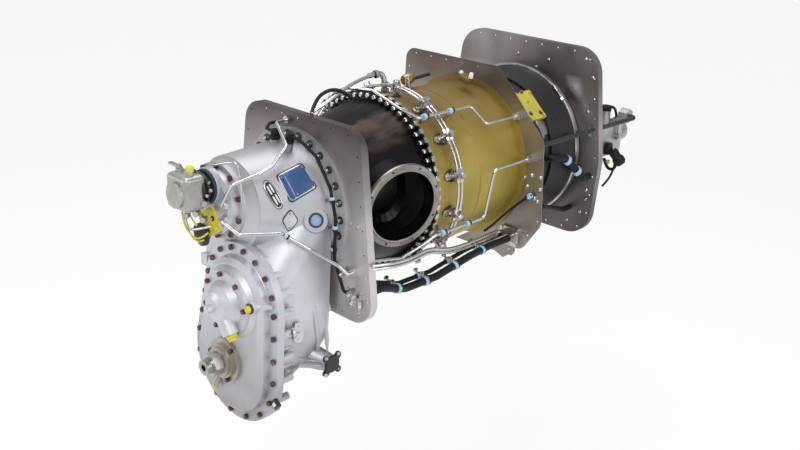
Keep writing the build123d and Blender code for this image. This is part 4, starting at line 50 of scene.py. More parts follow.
# Camera at the photograph's place, with the picture's middle and the focal length in pixels
AROUND, UP, ROLL = math.radians(42.2), math.radians(21.1), math.radians(2.9)
EYE = Vector((1.66491, -1.16506, 1.15513))
LENS_MM, SENSOR_MM, CLIP_END = 42.75, 36.0, 50
MIDDLE_X, MIDDLE_Y, FOCAL = 400, 225, 950.0
back = Vector((math.sin(AROUND) * math.cos(UP), -math.cos(AROUND) * math.cos(UP), math.sin(UP)))
flat_right = Vector((math.cos(AROUND), math.sin(AROUND), 0))
flat_up = back.cross(flat_right)
right = math.cos(ROLL) * flat_right + math.sin(ROLL) * flat_up
up = -math.sin(ROLL) * flat_right + math.cos(ROLL) * flat_up
lens = bpy.data.cameras.new("camera")
lens.lens, lens.sensor_width, lens.clip_end = LENS_MM, SENSOR_MM, CLIP_END
camera = bpy.data.objects.new("camera", lens)
camera.matrix_world = Matrix.Translation(EYE) @ Matrix((right, up, back)).transposed().to_4x4()
scene.collection.objects.link(camera)
scene.camera = camera


def ray(px, py):
    """The direction from the eye through a pixel of the 800 by 450 picture."""
    return ((px - MIDDLE_X) * right - (py - MIDDLE_Y) * up - FOCAL * back).normalized()


def at_station(px, py, y):
    """The point on a pixel's ray at a station, y in millimetres."""
    way = ray(px, py)
    return EYE + way * ((y * MM - EYE.y) / way.y)


trees = {}


def tree(node):
    """A search tree over the faces of a CAD node, made once."""
    if node not in trees:
        mesh = bmesh.new()
        mesh.from_mesh(frame["nodes"][node].data)
        trees[node] = BVHTree.FromBMesh(mesh)
        mesh.free()
    return trees[node]


def hit(px, py, node):
    """Where a pixel's ray meets a CAD node, or passes nearest to it, and the surface's normal there."""
    way = ray(px, py)
    place, normal, _, _ = tree(node).ray_cast(EYE, way)
    if place is None:
        low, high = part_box(node)
        place, normal, _, _ = tree(node).find_nearest(EYE + way * (((low + high) / 2) - EYE).dot(way))
    return place, normal if normal.dot(back) > 0 else -normal


def facing(angle):
    """The direction outward from the engine's axis at an angle in degrees."""
    return Vector((math.cos(math.radians(angle)), 0, math.sin(math.radians(angle))))


def off_axis(y, out, radius):
    """The point at a station in metres, out from the engine's axis by a radius."""
    return Vector((0, y, AXIS_Z)) + out * radius


def row(x, y, z):
    """A point given in millimetres."""
    return Vector((x, y, z)) * MM


# Materials: every one has colour variation and a fine bump from its nodes, and all but the mesh have roughness
# variation
BUMP_DEPTH = 0.001
M = {}


class Look:
    """A material in the making: its nodes are in metres of the frame."""

    def __init__(self, name):
        self.made = bpy.data.materials.new(name)
        self.made.use_nodes = True
        self.nodes, self.links = self.made.node_tree.nodes, self.made.node_tree.links
        self.shader = self.nodes["Principled BSDF"]
        self.coords = self.nodes.new("ShaderNodeTexCoord").outputs["Object"]
        M[name] = self.made

    def noise(self, scale, detail=4.0, stretch=None):
        """A noise texture, stretched along the axes if asked."""
        texture = self.nodes.new("ShaderNodeTexNoise")
        texture.inputs["Scale"].default_value = scale
        texture.inputs["Detail"].default_value = detail
        source = self.coords
        if stretch:
            mapping = self.nodes.new("ShaderNodeMapping")
            mapping.inputs["Scale"].default_value = stretch
            self.links.new(source, mapping.inputs["Vector"])
            source = mapping.outputs["Vector"]
        self.links.new(source, texture.inputs["Vector"])
        return texture.outputs["Fac"]

    def axes(self):
        """The three coordinates, each on its own."""
        split = self.nodes.new("ShaderNodeSeparateXYZ")
        self.links.new(self.coords, split.inputs["Vector"])
        return split.outputs

    def ramp(self, factor, stops):
        """Colours along a factor: stops is pairs of a position and a colour."""
        made = self.nodes.new("ShaderNodeValToRGB")
        while len(made.color_ramp.elements) < len(stops):
            made.color_ramp.elements.new(0.5)
        for element, (place, colour) in zip(made.color_ramp.elements, stops):
            element.position = place
            element.color = (*colour, 1)
        self.links.new(factor, made.inputs["Fac"])
        return made.outputs["Color"]

    def mixed(self, factor, low, high, kind="MIX"):
        """Two colours mixed by a factor: each of the three is a value or a socket."""
        made = self.nodes.new("ShaderNodeMix")
        made.data_type, made.blend_type = "RGBA", kind
        for socket, value in (("Factor", factor), ("A", low), ("B", high)):
            if isinstance(value, float):
                made.inputs[socket].default_value = value
            elif isinstance(value, tuple):
                made.inputs[socket].default_value = (*value, 1)
            else:
                self.links.new(value, made.inputs[socket])
        return made.outputs["Result"]

    def mapped(self, value, source=(0, 1), target=(0, 1)):
        """A value moved from one range to another."""
        made = self.nodes.new("ShaderNodeMapRange")
        for end, number in zip(("From Min", "From Max", "To Min", "To Max"), (*source, *target)):
            made.inputs[end].default_value = number
        self.links.new(value, made.inputs["Value"])
        return made.outputs["Result"]

    def maths(self, kind, *values):
        """A sum of one kind, on numbers and sockets."""
        step = self.nodes.new("ShaderNodeMath")
        step.operation = kind
        for socket, value in zip(step.inputs, values):
            if isinstance(value, (int, float)):
                socket.default_value = value
            else:
                self.links.new(value, socket)
        return step.outputs["Value"]

    def join(self, colour, height, bump, **own):
        """Joins colour and relief to the shader, and sets its other inputs, each a number or a socket."""
        self.links.new(colour, self.shader.inputs["Base Color"])
        lump = self.nodes.new("ShaderNodeBump")
        lump.inputs["Strength"].default_value = bump
        lump.inputs["Distance"].default_value = BUMP_DEPTH
        self.links.new(height, lump.inputs["Height"])
        self.links.new(lump.outputs["Normal"], self.shader.inputs["Normal"])
        for name, value in own.items():
            socket = self.shader.inputs[name.replace("_", " ")]
            if isinstance(value, (int, float)):
                socket.default_value = value
            else:
                self.links.new(value, socket)


TONES_START, TONES_SPAN, ROUGH_SPREAD = 0.3, 0.4, 0.12
BROAD_DETAIL, GRIME_DETAIL, GRAIN_DETAIL = 6, 8, 3
GRIME_STOPS = [(0.52, (0, 0, 0)), (0.75, (1, 1, 1))]


def finish_of(name, colours, rough, metal=0.0, scale=9.0, grain=220.0, bump=0.15, stretch=None, grime=None,
              grime_scale=4.0, coat=0.0, by_height=None, specular=0.5):
    """A surface: colours is two or more tones spread by a noise, with grain in its bump and grime in patches.
    by_height is a list of heights in metres, each with a tint that the colour is multiplied by there: on the gearbox
    paint and the three sheet finishes it is painted light and shade by height, on the gold coat a heat tint."""
    look = Look(name)
    broad = look.noise(scale, BROAD_DETAIL, stretch)
    steps = max(1, len(colours) - 1)
    colour = look.ramp(broad, [(TONES_START + TONES_SPAN * k / steps, tone) for k, tone in enumerate(colours)])
    if grime:
        colour = look.mixed(look.ramp(look.noise(grime_scale, GRIME_DETAIL), GRIME_STOPS), colour, grime)
    # Tints by height: painted light and shade on the gearbox paint and sheet finishes, a heat tint on the gold coat
    if by_height:
        bottom, top = by_height[0][0], by_height[-1][0]
        rise = look.mapped(look.axes()["Z"], (bottom, top))
        tint = look.ramp(rise, [((z - bottom) / (top - bottom), tone) for z, tone in by_height])
        colour = look.mixed(1.0, colour, tint, "MULTIPLY")
    roughness = look.mapped(broad, target=(max(0.02, rough - ROUGH_SPREAD), min(1, rough + ROUGH_SPREAD)))
    look.join(colour, look.noise(grain, GRAIN_DETAIL, stretch), bump, Roughness=roughness, Metallic=metal,
              Coat_Weight=coat, Specular_IOR_Level=specular)


def tones(colour, spread=0.18):
    """A colour between a darker and a lighter tone of it."""
    return [tuple(c * (1 - spread) for c in colour), colour, tuple(min(1, c * (1 + spread)) for c in colour)]


# The gearbox paint's tints by height are painted light: painted shade at the bottom and over the top, and a faint
# painted highlight low on the sides
finish_of("gearbox_paint", tones((0.60, 0.605, 0.635), 0.10), rough=0.47, metal=0.62, scale=7, grain=260,
          bump=0.35, grime=(0.42, 0.42, 0.44), grime_scale=5,
          by_height=[(-0.04, (0.74, 0.73, 0.73)), (0.14, (1.08, 1.08, 1.09)), (0.38, (1, 1, 1)),
                     (0.46, (0.74, 0.72, 0.72)), (0.54, (0.48, 0.46, 0.46))])
finish_of("dark_casting", tones((0.030, 0.030, 0.033)), rough=0.5, metal=0.2, scale=14, grain=260, bump=0.4)
# The sheet steel's tints by height (front plate) are painted light: a painted reflection brightens it low down and
# painted shade darkens it towards the top
finish_of("sheet_steel", tones((0.50, 0.485, 0.48), 0.2), rough=0.40, metal=0.85, scale=6, grain=300,
          bump=0.12, stretch=(1, 1, 0.35), grime=(0.36, 0.34, 0.33), grime_scale=3.2,
          by_height=[(0.24, (1.38, 1.34, 1.35)), (0.36, (1.20, 1.17, 1.18)), (0.46, (0.74, 0.70, 0.71)),
                     (0.58, (0.20, 0.165, 0.18))])
# The titanium sheet's tints by height (middle plate) are painted shade, darker low down and much darker towards the
# top, a little lighter and bluer at mid height
finish_of("titanium_sheet", [(0.30, 0.27, 0.245), (0.38, 0.35, 0.325), (0.44, 0.41, 0.385)], rough=0.38,
          metal=0.85, scale=9, grain=300, bump=0.12, grime=(0.27, 0.225, 0.18), grime_scale=7,
          by_height=[(0.10, (0.84, 0.80, 0.80)), (0.24, (0.96, 0.93, 0.93)), (0.36, (1.06, 1.06, 1.10)),
                     (0.48, (0.98, 0.97, 0.98)), (0.58, (0.52, 0.47, 0.44)), (0.66, (0.28, 0.25, 0.26))])
# The dark sheet's tints by height (rear plate) are painted light: painted shade low down and a bright painted sheen
# band about 0.44 m up
finish_of("dark_sheet", [(0.12, 0.108, 0.112), (0.19, 0.172, 0.178), (0.27, 0.25, 0.255)], rough=0.44,
          metal=0.80, scale=6, grain=300, bump=0.12, stretch=(1, 1, 0.5), grime=(0.32, 0.305, 0.30), grime_scale=4.5,
          by_height=[(0.16, (0.60, 0.55, 0.58)), (0.30, (1.1, 1.05, 1.08)), (0.44, (2.1, 2.0, 2.0)),
                     (0.58, (1.0, 0.97, 0.98))])
finish_of("gold_coat", [(0.33, 0.245, 0.050), (0.42, 0.32, 0.066), (0.48, 0.375, 0.09)], rough=0.44,
          metal=0.55, scale=6, grain=420, bump=0.35, grime=(0.30, 0.225, 0.06), grime_scale=3.5,
          by_height=[(0.36, (1, 1, 1)), (0.48, (0.94, 0.90, 0.92)), (0.56, (0.58, 0.50, 0.62)),
                     (0.60, (0.44, 0.38, 0.60))])
finish_of("bright_steel", tones((0.55, 0.54, 0.53)), rough=0.28, metal=1.0, scale=30, grain=500, bump=0.08,
          grime=(0.30, 0.28, 0.26), grime_scale=40)
finish_of("tube_steel", tones((0.62, 0.62, 0.63), 0.1), rough=0.22, metal=1.0, scale=25, grain=600, bump=0.05)
finish_of("gear_steel", tones((0.42, 0.42, 0.43)), rough=0.3, metal=1.0, scale=30, grain=500, bump=0.08)
finish_of("hot_alloy", [(0.10, 0.08, 0.07), (0.20, 0.17, 0.15), (0.16, 0.16, 0.19)], rough=0.45, metal=0.9)
finish_of("light_alloy", tones((0.46, 0.445, 0.425), 0.16), rough=0.38, metal=0.7, scale=22, grain=320,
          bump=0.2, grime=(0.30, 0.30, 0.29), grime_scale=18)
finish_of("retainer_bronze", tones((0.44, 0.41, 0.34), 0.14), rough=0.38, metal=0.75, scale=26, grain=400,
          bump=0.12)
finish_of("gilt", tones((0.60, 0.42, 0.13)), rough=0.25, metal=1.0, scale=30, grain=400, bump=0.08)
finish_of("brass", tones((0.42, 0.30, 0.09)), rough=0.32, metal=1.0, scale=30, grain=400, bump=0.1)
finish_of("port_steel", [(0.24, 0.22, 0.20), (0.33, 0.31, 0.29), (0.42, 0.40, 0.38)], rough=0.36, metal=0.9,
          scale=16, grain=400, bump=0.12, grime=(0.20, 0.16, 0.13), grime_scale=9)
finish_of("black_rubber", tones((0.010, 0.010, 0.011), 0.3), rough=0.55, scale=30, grain=380, bump=0.25,
          specular=0.25)
finish_of("pale_blue", tones((0.38, 0.62, 0.92), 0.12), rough=0.5, scale=40, grain=300)
finish_of("blue_plate", [(0.030, 0.062, 0.18), (0.038, 0.080, 0.225), (0.05, 0.10, 0.27)], rough=0.34, metal=0.2,
          scale=24, grain=500, bump=0.06, coat=0.2)
finish_of("badge_blue", [(0.20, 0.33, 0.48), (0.26, 0.42, 0.60), (0.34, 0.50, 0.68)], rough=0.30, metal=0.3,
          scale=60, grain=500, bump=0.08, coat=0.3)
finish_of("badge_navy", [(0.022, 0.034, 0.075), (0.030, 0.045, 0.10), (0.042, 0.060, 0.13)], rough=0.34,
          metal=0.2, scale=60, grain=500, bump=0.08, coat=0.3)
finish_of("silver_plate", tones((0.62, 0.63, 0.65), 0.1), rough=0.3, metal=0.9, scale=30, grain=500, bump=0.08)
finish_of("black_paint", tones((0.018, 0.018, 0.02)), rough=0.35, scale=20, grain=300, coat=0.2)
finish_of("yellow", tones((0.70, 0.60, 0.035), 0.1), rough=0.34, scale=26, grain=300, bump=0.1, coat=0.25)
finish_of("yellow_sheet", tones((0.50, 0.44, 0.055), 0.12), rough=0.42, metal=0.1, scale=14, grain=300,
          grime=(0.40, 0.35, 0.08), grime_scale=9)
finish_of("torque_red", [(0.22, 0.19, 0.17), (0.13, 0.035, 0.028), (0.06, 0.022, 0.02)], rough=0.38, metal=0.6,
          scale=90, grain=400, bump=0.1)
finish_of("white_paint", tones((0.78, 0.78, 0.76), 0.06), rough=0.45, scale=20, grain=300, bump=0.1)


def stained(name):
    """Dark scale with brown and blue heat tints in streaks along the flow."""
    look = Look(name)
    streak = look.noise(7, 8, (1.6, 0.55, 1.6))
    cloud = look.noise(3.2, 6)
    tint = look.ramp(streak, [(0.30, (0.005, 0.004, 0.005)), (0.47, (0.010, 0.008, 0.009)),
                              (0.55, (0.066, 0.045, 0.038)), (0.63, (0.012, 0.010, 0.014)),
                              (0.76, (0.070, 0.058, 0.055))])
    blue = look.ramp(cloud, [(0.50, (0, 0, 0)), (0.68, (0.8, 0.8, 0.8))])
    look.join(look.mixed(blue, tint, (0.015, 0.014, 0.018)), look.noise(160, 4), 0.2,
              Roughness=look.mapped(cloud, target=(0.34, 0.6)), Metallic=0.85)


def woven(name, wire_colour, gap_shade_colour, pitch, radius=0.22, gap_share=0.66):
    """Wire mesh round the engine's axis: thin wires over gaps painted near black as the painted shade seen through the
    mesh, by angle and station.
    """
    look = Look(name)
    x, y, z = look.axes()
    turn = look.maths("ARCTAN2", look.maths("SUBTRACT", z, AXIS_Z), x)
    across = look.maths("FRACT", look.maths("MULTIPLY", turn, radius / pitch))
    along = look.maths("FRACT", look.maths("MULTIPLY", y, 1 / pitch))
    lines = look.maths("MAXIMUM", *(look.maths("GREATER_THAN", way, gap_share) for way in (across, along)))
    look.join(look.mixed(lines, gap_shade_colour, wire_colour), lines, 0.8, Metallic=0.6, Roughness=0.45)


stained("heat_stain")
# The mesh's gaps are painted near black as the shade behind the screen
woven("mesh", (0.062, 0.058, 0.062), (0.004, 0.004, 0.005), 0.0045)

# A CAD node takes the look named after its material slot, apart from these slots and nodes
SLOT_LOOKS = {"stained_steel": "heat_stain", "case_coating": "gold_coat", "seal_blue": "pale_blue",
              "cap_yellow": "yellow", "bolt_red": "torque_red", "screen_mesh": "mesh"}
NODE_LOOKS = {"middle_firewall": "titanium_sheet", "rear_firewall": "dark_sheet",
              "bleed_valve_cover": "yellow_sheet", "pipe_clamps": "bright_steel"}
for part in frame["record"]["subparts"]:
    slot, materials = part["material_slot"], frame["nodes"][part["node"]].data.materials
    materials.clear()
    materials.append(M[SLOT_LOOKS.get(slot, slot)])
for name, look in NODE_LOOKS.items():
    frame["nodes"][name].data.materials[0] = M[look]


class Piece:
    """Faces built in mesh code, which become one object with one material."""

    def __init__(self, name, look, body="engine", slot=None):
        self.name, self.look, self.body, self.slot = name, look, body, slot
        self.bm = bmesh.new()

    def lathe(self, start, along, profile, sides=24):
        """A turned form: profile is (distance along, radius) in metres, from start in the direction along."""
        along = Vector(along).normalized()
        side = along.orthogonal().normalized()
        other = along.cross(side)
        rings = []
        for reach, radius in profile:
            centre = Vector(start) + along * reach
            if radius <= 1e-6:
                rings.append([self.bm.verts.new(centre)])
            else:
                rings.append([self.bm.verts.new(centre + radius * (math.cos(a) * side + math.sin(a) * other))
                              for a in (2 * math.pi * k / sides for k in range(sides))])
        for low, high in zip(rings, rings[1:]):
            for k in range(sides):
                if len(low) == 1 and len(high) == 1:
                    continue
                n = (k + 1) % sides
                if len(low) == 1:
                    self.bm.faces.new((low[0], high[k], high[n]))
                elif len(high) == 1:
                    self.bm.faces.new((low[k], high[0], low[n]))
                else:
                    self.bm.faces.new((low[k], high[k], high[n], low[n]))
        return self

    def coin(self, start, along, radius, thick, sides):
        """A flat round disc, open at its foot."""
        return self.lathe(start, along, [(0, radius), (thick, radius), (thick, 0)], sides)

    def ring(self, start, along, inner, outer, width, sides=22):
        """A band of rectangular section, open on its inside."""
        return self.lathe(start, along, [(0, inner), (0, outer), (width, outer), (width, inner)], sides)

    def hexagon(self, start, along, radius, height):
        """A nut or bolt head with a chamfered top."""
        head = [(0, radius), (height * 0.8, radius), (height, radius * 0.86), (height, 0)]
        return self.lathe(start, along, head, 6)

    def slab(self, grid, thick):
        """A sheet through a grid of (point, normal), with a thickness."""
        low, high = [[[self.bm.verts.new(p + n * level) for p, n in line] for line in grid]
                     for level in (0.0, thick)]
        rows, cols = len(grid), len(grid[0])
        for i in range(rows - 1):
            for j in range(cols - 1):
                self.bm.faces.new((high[i][j], high[i + 1][j], high[i + 1][j + 1], high[i][j + 1]))
                self.bm.faces.new((low[i][j], low[i][j + 1], low[i + 1][j + 1], low[i + 1][j]))
        edge = [(0, j) for j in range(cols)] + [(i, cols - 1) for i in range(1, rows)]
        edge += [(rows - 1, j) for j in range(cols - 2, -1, -1)] + [(i, 0) for i in range(rows - 2, 0, -1)]
        for (a, b), (c, d) in zip(edge, edge[1:] + edge[:1]):
            self.bm.faces.new((low[a][b], high[a][b], high[c][d], low[c][d]))
        return self

    def brick(self, centre, x, y, z, size):
        """A bevelled block: its three directions and full sizes."""
        box = bmesh.ops.create_cube(self.bm, size=1.0)
        axes = Matrix((Vector(x).normalized(), Vector(y).normalized(), Vector(z).normalized())).transposed()
        place = Matrix.Translation(centre) @ axes.to_4x4() @ Matrix.Diagonal((*size, 1))
        bmesh.ops.transform(self.bm, matrix=place, verts=box["verts"])
        edges = list({e for v in box["verts"] for e in v.link_edges})
        bmesh.ops.bevel(self.bm, geom=edges, offset=min(size) * 0.18, segments=2, affect="EDGES", profile=0.5)
        return self

    def done(self, smooth=35):
        """Ends the piece: one object, shaded smooth up to an angle in degrees, that rides its body."""
        bmesh.ops.remove_doubles(self.bm, verts=self.bm.verts, dist=1e-6)
        bmesh.ops.recalc_face_normals(self.bm, faces=self.bm.faces)
        mesh = bpy.data.meshes.new(self.name)
        self.bm.to_mesh(mesh)
        self.bm.free()
        mesh.materials.append(M[self.look])
        made = bpy.data.objects.new(self.name, mesh)
        scene.collection.objects.link(made)
        for face in mesh.polygons:
            face.use_smooth = True
        mesh.set_sharp_from_angle(angle=math.radians(smooth))
        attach(made, self.body)


def finish(*pieces):
    for piece in pieces:
        piece.done()


def wire(name, look, spots, radius):
    """A smooth round line through control points, each a pixel and a station in millimetres."""
    curve = bpy.data.curves.new(name, "CURVE")
    curve.dimensions = "3D"
    curve.bevel_depth, curve.bevel_resolution, curve.use_fill_caps = radius, 4, True
    spline = curve.splines.new("NURBS")
    spline.points.add(len(spots) - 1)
    for point, spot in zip(spline.points, spots):
        point.co = (*at_station(*spot), 1)
    spline.order_u = 3
    spline.use_endpoint_u = True
    curve.materials.append(M[look])
    made = bpy.data.objects.new(name, curve)
    scene.collection.objects.link(made)
    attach(made, "engine")


def between(corners, u, v):
    """The pixel at shares u and v between four: top left, top right, bottom right, bottom left."""
    a, b, c, d = [Vector(corner) for corner in corners]
    return (a * (1 - u) + b * u) * (1 - v) + (d * (1 - u) + c * u) * v


def inside(corners, left, right, top, bottom):
    """Four pixels inside a four-cornered patch, by its shares."""
    shares = ((left, top), (right, top), (right, bottom), (left, bottom))
    return [tuple(between(corners, u, v)) for u, v in shares]


def grown(corners, share):
    """Pixels moved away by a share from a quarter of their sum, which is the middle when they are four.
    The sump plate has six, so its dark edge is misplaced and drawn out: a known fault."""
    x, y = sum(c[0] for c in corners) / 4, sum(c[1] for c in corners) / 4
    return [(x + (a - x) * (1 + share), y + (b - y) * (1 + share)) for a, b in corners]


def rounded(corners, share=0.2, steps=5):
    """An outline through pixel corners, each corner rounded off over a share of its sides."""
    outline = []
    for k, corner in enumerate(corners):
        corner, before, after = Vector(corner), Vector(corners[k - 1]), Vector(corners[(k + 1) % len(corners)])
        start, end = corner.lerp(before, share), corner.lerp(after, share)
        for step in range(steps + 1):
            t = step / steps
            outline.append(tuple(start.lerp(corner, t).lerp(corner.lerp(end, t), t)))
    return outline


# Share of the way from the middle to the outline, and rise in thicknesses, of each ring of a pad
PAD_RINGS = ((0.0, 1), (0.2, 1), (0.4, 1), (0.6, 1), (0.8, 1), (0.95, 1), (1.0, 0.6), (1.0, -2))


def pad(name, look, outline, node, lift, thick):
    """A thin plate of any outline that lies on a node: its pixels are (x, y) pairs."""
    made = Piece(name, look)
    middle = sum((Vector(spot) for spot in outline), Vector((0, 0))) / len(outline)
    rings = []
    for share, rise in PAD_RINGS:
        ring = []
        for spot in outline:
            spot = middle.lerp(Vector(spot), share)
            place, normal = hit(spot.x, spot.y, node)
            ring.append(made.bm.verts.new(place + normal * (lift + thick * rise)))
            if share == 0.0:
                break
        rings.append(ring)
    count = len(outline)
    for k in range(count):
        n = (k + 1) % count
        made.bm.faces.new((rings[0][0], rings[1][k], rings[1][n]))
        for low, high in zip(rings[1:], rings[2:]):
            made.bm.faces.new((low[k], high[k], high[n], low[n]))
    made.done(40)


def studs(name, look, places, node, radius, height, sides=12):
    """Small round heads that stand on a node at pixels."""
    made = Piece(name, look)
    head = [(0, radius), (height * 0.6, radius), (height, radius * 0.7), (height, 0)]
    for px, py in places:
        place, normal = hit(px, py, node)
        made.lathe(place - normal * 0.0005, normal, head, sides)
    made.done()


def rivets(name, spots, node, radius, height):
    """Domed steel rivets on a plate at pixels, on its forward face."""
    made = Piece(name, "bright_steel")
    dome = [(0, radius), (height * 0.4, radius), (height * 0.85, radius * 0.6), (height, 0)]
    for px, py in spots:
        made.lathe(hit(px, py, node)[0], FORWARD, dome, 16)
    made.done()


def disc(name, look, px, py, node, radius, height, bore=0.0, sides=40, sink=0.004):
    """A turned boss with a chamfer that stands on a node at a pixel."""
    place, normal = hit(px, py, node)
    profile = [(-sink, radius + height * 0.4), (0, radius + height * 0.3), (height * 0.7, radius),
               (height, radius - 0.0015), (height, bore)]
    if bore:
        profile += [(height - 0.0015, bore), (height - 0.0015, 0)]
    Piece(name, look).lathe(place, normal, profile, sides).done()


# Plates and badge on the neck of the reduction gearbox
neck = "gearbox_rear_housing"


def edged(name, corners, share, rim, lift=0.0006):
    """A silver plate on the neck, with a dark plate under it that is larger by a share."""
    pad(name + "_edge", "black_paint", rounded(grown(corners, rim), share), neck, lift, 0.0006)
    pad(name, "silver_plate", rounded(corners, share), neck, lift + 0.0008, 0.0008)


DATA_PLATE = [(277, 176), (301, 164), (316, 187), (291, 202)]
edged("data_plate", DATA_PLATE, 0.12, 0.10)
for side, low, high in (("left", 0.03, 0.20), ("right", 0.235, 0.97)):
    field = rounded(inside(DATA_PLATE, low, high, 0.04, 0.96), 0.06)
    pad(f"data_plate_{side}", "blue_plate", field, neck, lift=0.0040, thick=0.0006)
studs("data_plate_rivets", "silver_plate",
      [(281, 178), (287, 175), (301.5, 168), (312, 187), (297, 194), (291, 199)], neck, radius=0.0022, height=0.0062)
PLAQUE = [(261, 184.5), (268.6, 178.6), (284.7, 204.2), (277, 211)]
edged("plaque", PLAQUE, 0.46, 0.07)
pad("plaque_core", "black_paint", rounded(inside(PLAQUE, 0.10, 0.90, 0.06, 0.94), 0.4), neck, lift=0.0044,
    thick=0.0006)
for column, (low, high) in enumerate(((0.27, 0.43), (0.57, 0.73))):
    for line, (top, bottom) in enumerate(((0.16, 0.47), (0.53, 0.84))):
        bar = rounded(inside(PLAQUE, low, high, top, bottom), 0.3)
        pad(f"plaque_bar_{column}_{line}", "white_paint", bar, neck, lift=0.0062, thick=0.0005)
DIAMOND = [(290.3, 209.8), (298, 220.3), (289, 231.5), (282.3, 220.3)]
edged("diamond_plate", DIAMOND, 0.28, 0.16)
studs("diamond_screws", "bright_steel", [(290.2, 213.6), (289.8, 221), (289.2, 227.6)], neck, radius=0.0030,
      height=0.0050)
OVAL = [(293.5, 321.5), (300.5, 321.5), (302.5, 331), (300, 341.5), (293, 341.5), (291, 332)]
edged("sump_plate", OVAL, 0.4, 0.20, 0.0065)
studs("sump_screws", "bright_steel", [(296.6, 325), (297, 331.4), (296.4, 338)], neck, radius=0.0030,
      height=0.0105)

BADGE = (315.6, 220.3)
disc("badge_boss", "gearbox_paint", *BADGE, neck, radius=0.0290, height=0.0060, bore=0.0195, sides=56)
disc("badge_rim", "badge_navy", *BADGE, neck, radius=0.0184, height=0.0056, bore=0.0128, sides=48)
disc("badge_face", "badge_blue", *BADGE, neck, radius=0.0124, height=0.0052, sides=48)

# Skirt that carries the drive case into the neck behind it: rings that widen, drop back and shift sideways
SKIRT_SHARES, SKIRT_TURNS = (0.0, 0.15, 0.4, 0.7, 1.0), 72
SKIRT_INSET, SKIRT_FLARE, SKIRT_CURVE = 0.001, 0.021, 1.4
skirt = Piece("drive_case_skirt", "gearbox_paint")
case_low, case_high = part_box("accessory_drive_cover")
case_middle = Vector(((case_low.x + case_high.x) / 2, case_high.y, (case_low.z + case_high.z) / 2))
case_r = (case_high.x - case_low.x) / 2
rings = []
for share in SKIRT_SHARES:
    reach = case_r - SKIRT_INSET + SKIRT_FLARE * share ** SKIRT_CURVE
    centre = case_middle + Vector((0.0130 * share, 0.0005 + 0.0175 * share, -0.0065 * share))
    rings.append([skirt.bm.verts.new(centre + facing(360 * turn / SKIRT_TURNS) * reach)
                  for turn in range(SKIRT_TURNS)])
for low, high in zip(rings, rings[1:]):
    for turn in range(SKIRT_TURNS):
        after = (turn + 1) % SKIRT_TURNS
        skirt.bm.faces.new((low[turn], high[turn], high[after], low[after]))
skirt.done(50)

# Gearbox details: tails of the split bosses, ribs to the mount pad, plugs, lug and rings
TAIL_ROW = ((273.8, 296), (276.3, 313), (276.6, 330), (276.6, 347), (276.6, 364), (276.6, 381), (272, 397))
TAIL = [(-0.002, 0), (0, 0.0075), (0.020, 0.0080), (0.034, 0.0066), (0.044, 0.0034), (0.048, 0)]
tails = Piece("boss_tails", "gearbox_paint")
for px, py in TAIL_ROW:
    place, normal = hit(px + 12, py + 1, neck)
    tails.lathe(place + FORWARD * 0.026 - normal * 0.004, AFT, TAIL, 18)
tails.done(50)

# Across and up, in shares of a rib's width and height
RIB_SECTION = ((-1, 0), (-0.7, 0.6), (-0.35, 0.95), (0.35, 0.95), (0.7, 0.6), (1, 0))
RIB_STEPS, RIB_SINK = 14, 0.004


def rib(name, spots, width, height):
    """A rounded web along the neck's surface through pixels, high in its middle and low at its ends."""
    made = Piece(name, "gearbox_paint")
    route = [hit(px, py, neck) for px, py in spots]
    sections = []
    for step in range(RIB_STEPS + 1):
        share = step / RIB_STEPS
        at = share * (len(route) - 1)
        k = min(int(at), len(route) - 2)
        place = route[k][0].lerp(route[k + 1][0], at - k)
        normal = route[k][1].lerp(route[k + 1][1], at - k).normalized()
        along = (route[k + 1][0] - route[k][0]).normalized()
        across = along.cross(normal).normalized()
        rise = height * min(1.0, 4 * share + 0.1, 4 * (1 - share) + 0.1)
        sections.append([
            made.bm.verts.new(place + across * width * w + normal * (rise * h - RIB_SINK * (h == 0)))
            for w, h in RIB_SECTION])
    for low, high in zip(sections, sections[1:]):
        for k in range(len(RIB_SECTION) - 1):
            made.bm.faces.new((low[k], high[k], high[k + 1], low[k + 1]))
    for section in (sections[0], sections[-1]):
        made.bm.faces.new(section)
    made.done(60)


MOUNT_RIBS = (((314, 306), (316, 330), (319, 352)), ((327, 306), (328, 330), (328, 352)),
              ((297, 358), (308, 360), (320, 362)), ((291, 373), (306, 373), (320, 372)))
for count, spots in enumerate(MOUNT_RIBS):
    rib(f"mount_rib_{count}", spots, width=0.0050, height=0.0065)
cover = "gearbox_front_cover"
disc("side_boss", "gearbox_paint", 331, 304, neck, radius=0.0120, height=0.0100, bore=0.006)
disc("pump_screw", "bright_steel", 226, 258, cover, radius=0.0040, height=0.003, sides=12)


def cap(name, look, spot, way, profile, sides):
    """A turned or many-sided cap that stands on the front cover at a pixel and points its own way."""
    Piece(name, look).lathe(hit(*spot, cover)[0], way, profile, sides).done()


PLUG, DRAIN_WAY, OIL_CAP_WAY = (252.5, 308), Vector((0.1, -0.5, -0.85)), Vector((0.25, -0.75, -0.6))
cap("plug_boss", "gearbox_paint", PLUG, FORWARD,
    [(-0.03, 0.0150), (0.004, 0.0145), (0.006, 0.0125), (0.006, 0)], 30)
cap("plug_ring", "black_paint", PLUG, FORWARD, [(0.004, 0.0128), (0.0100, 0.0125), (0.0100, 0)], 30)
cap("plug_cap", "yellow", PLUG, FORWARD,
    [(0.0095, 0.0092), (0.0170, 0.0088), (0.0185, 0.0070), (0.0185, 0)], 8)
cap("drain_fitting", "light_alloy", (219.5, 374), DRAIN_WAY,
    [(-0.01, 0.0085), (0.020, 0.0080), (0.026, 0.0060), (0.026, 0)], 20)
cap("drain_tip", "yellow", (219.5, 376), DRAIN_WAY, [(0.024, 0.0070), (0.032, 0.0060), (0.032, 0)], 20)
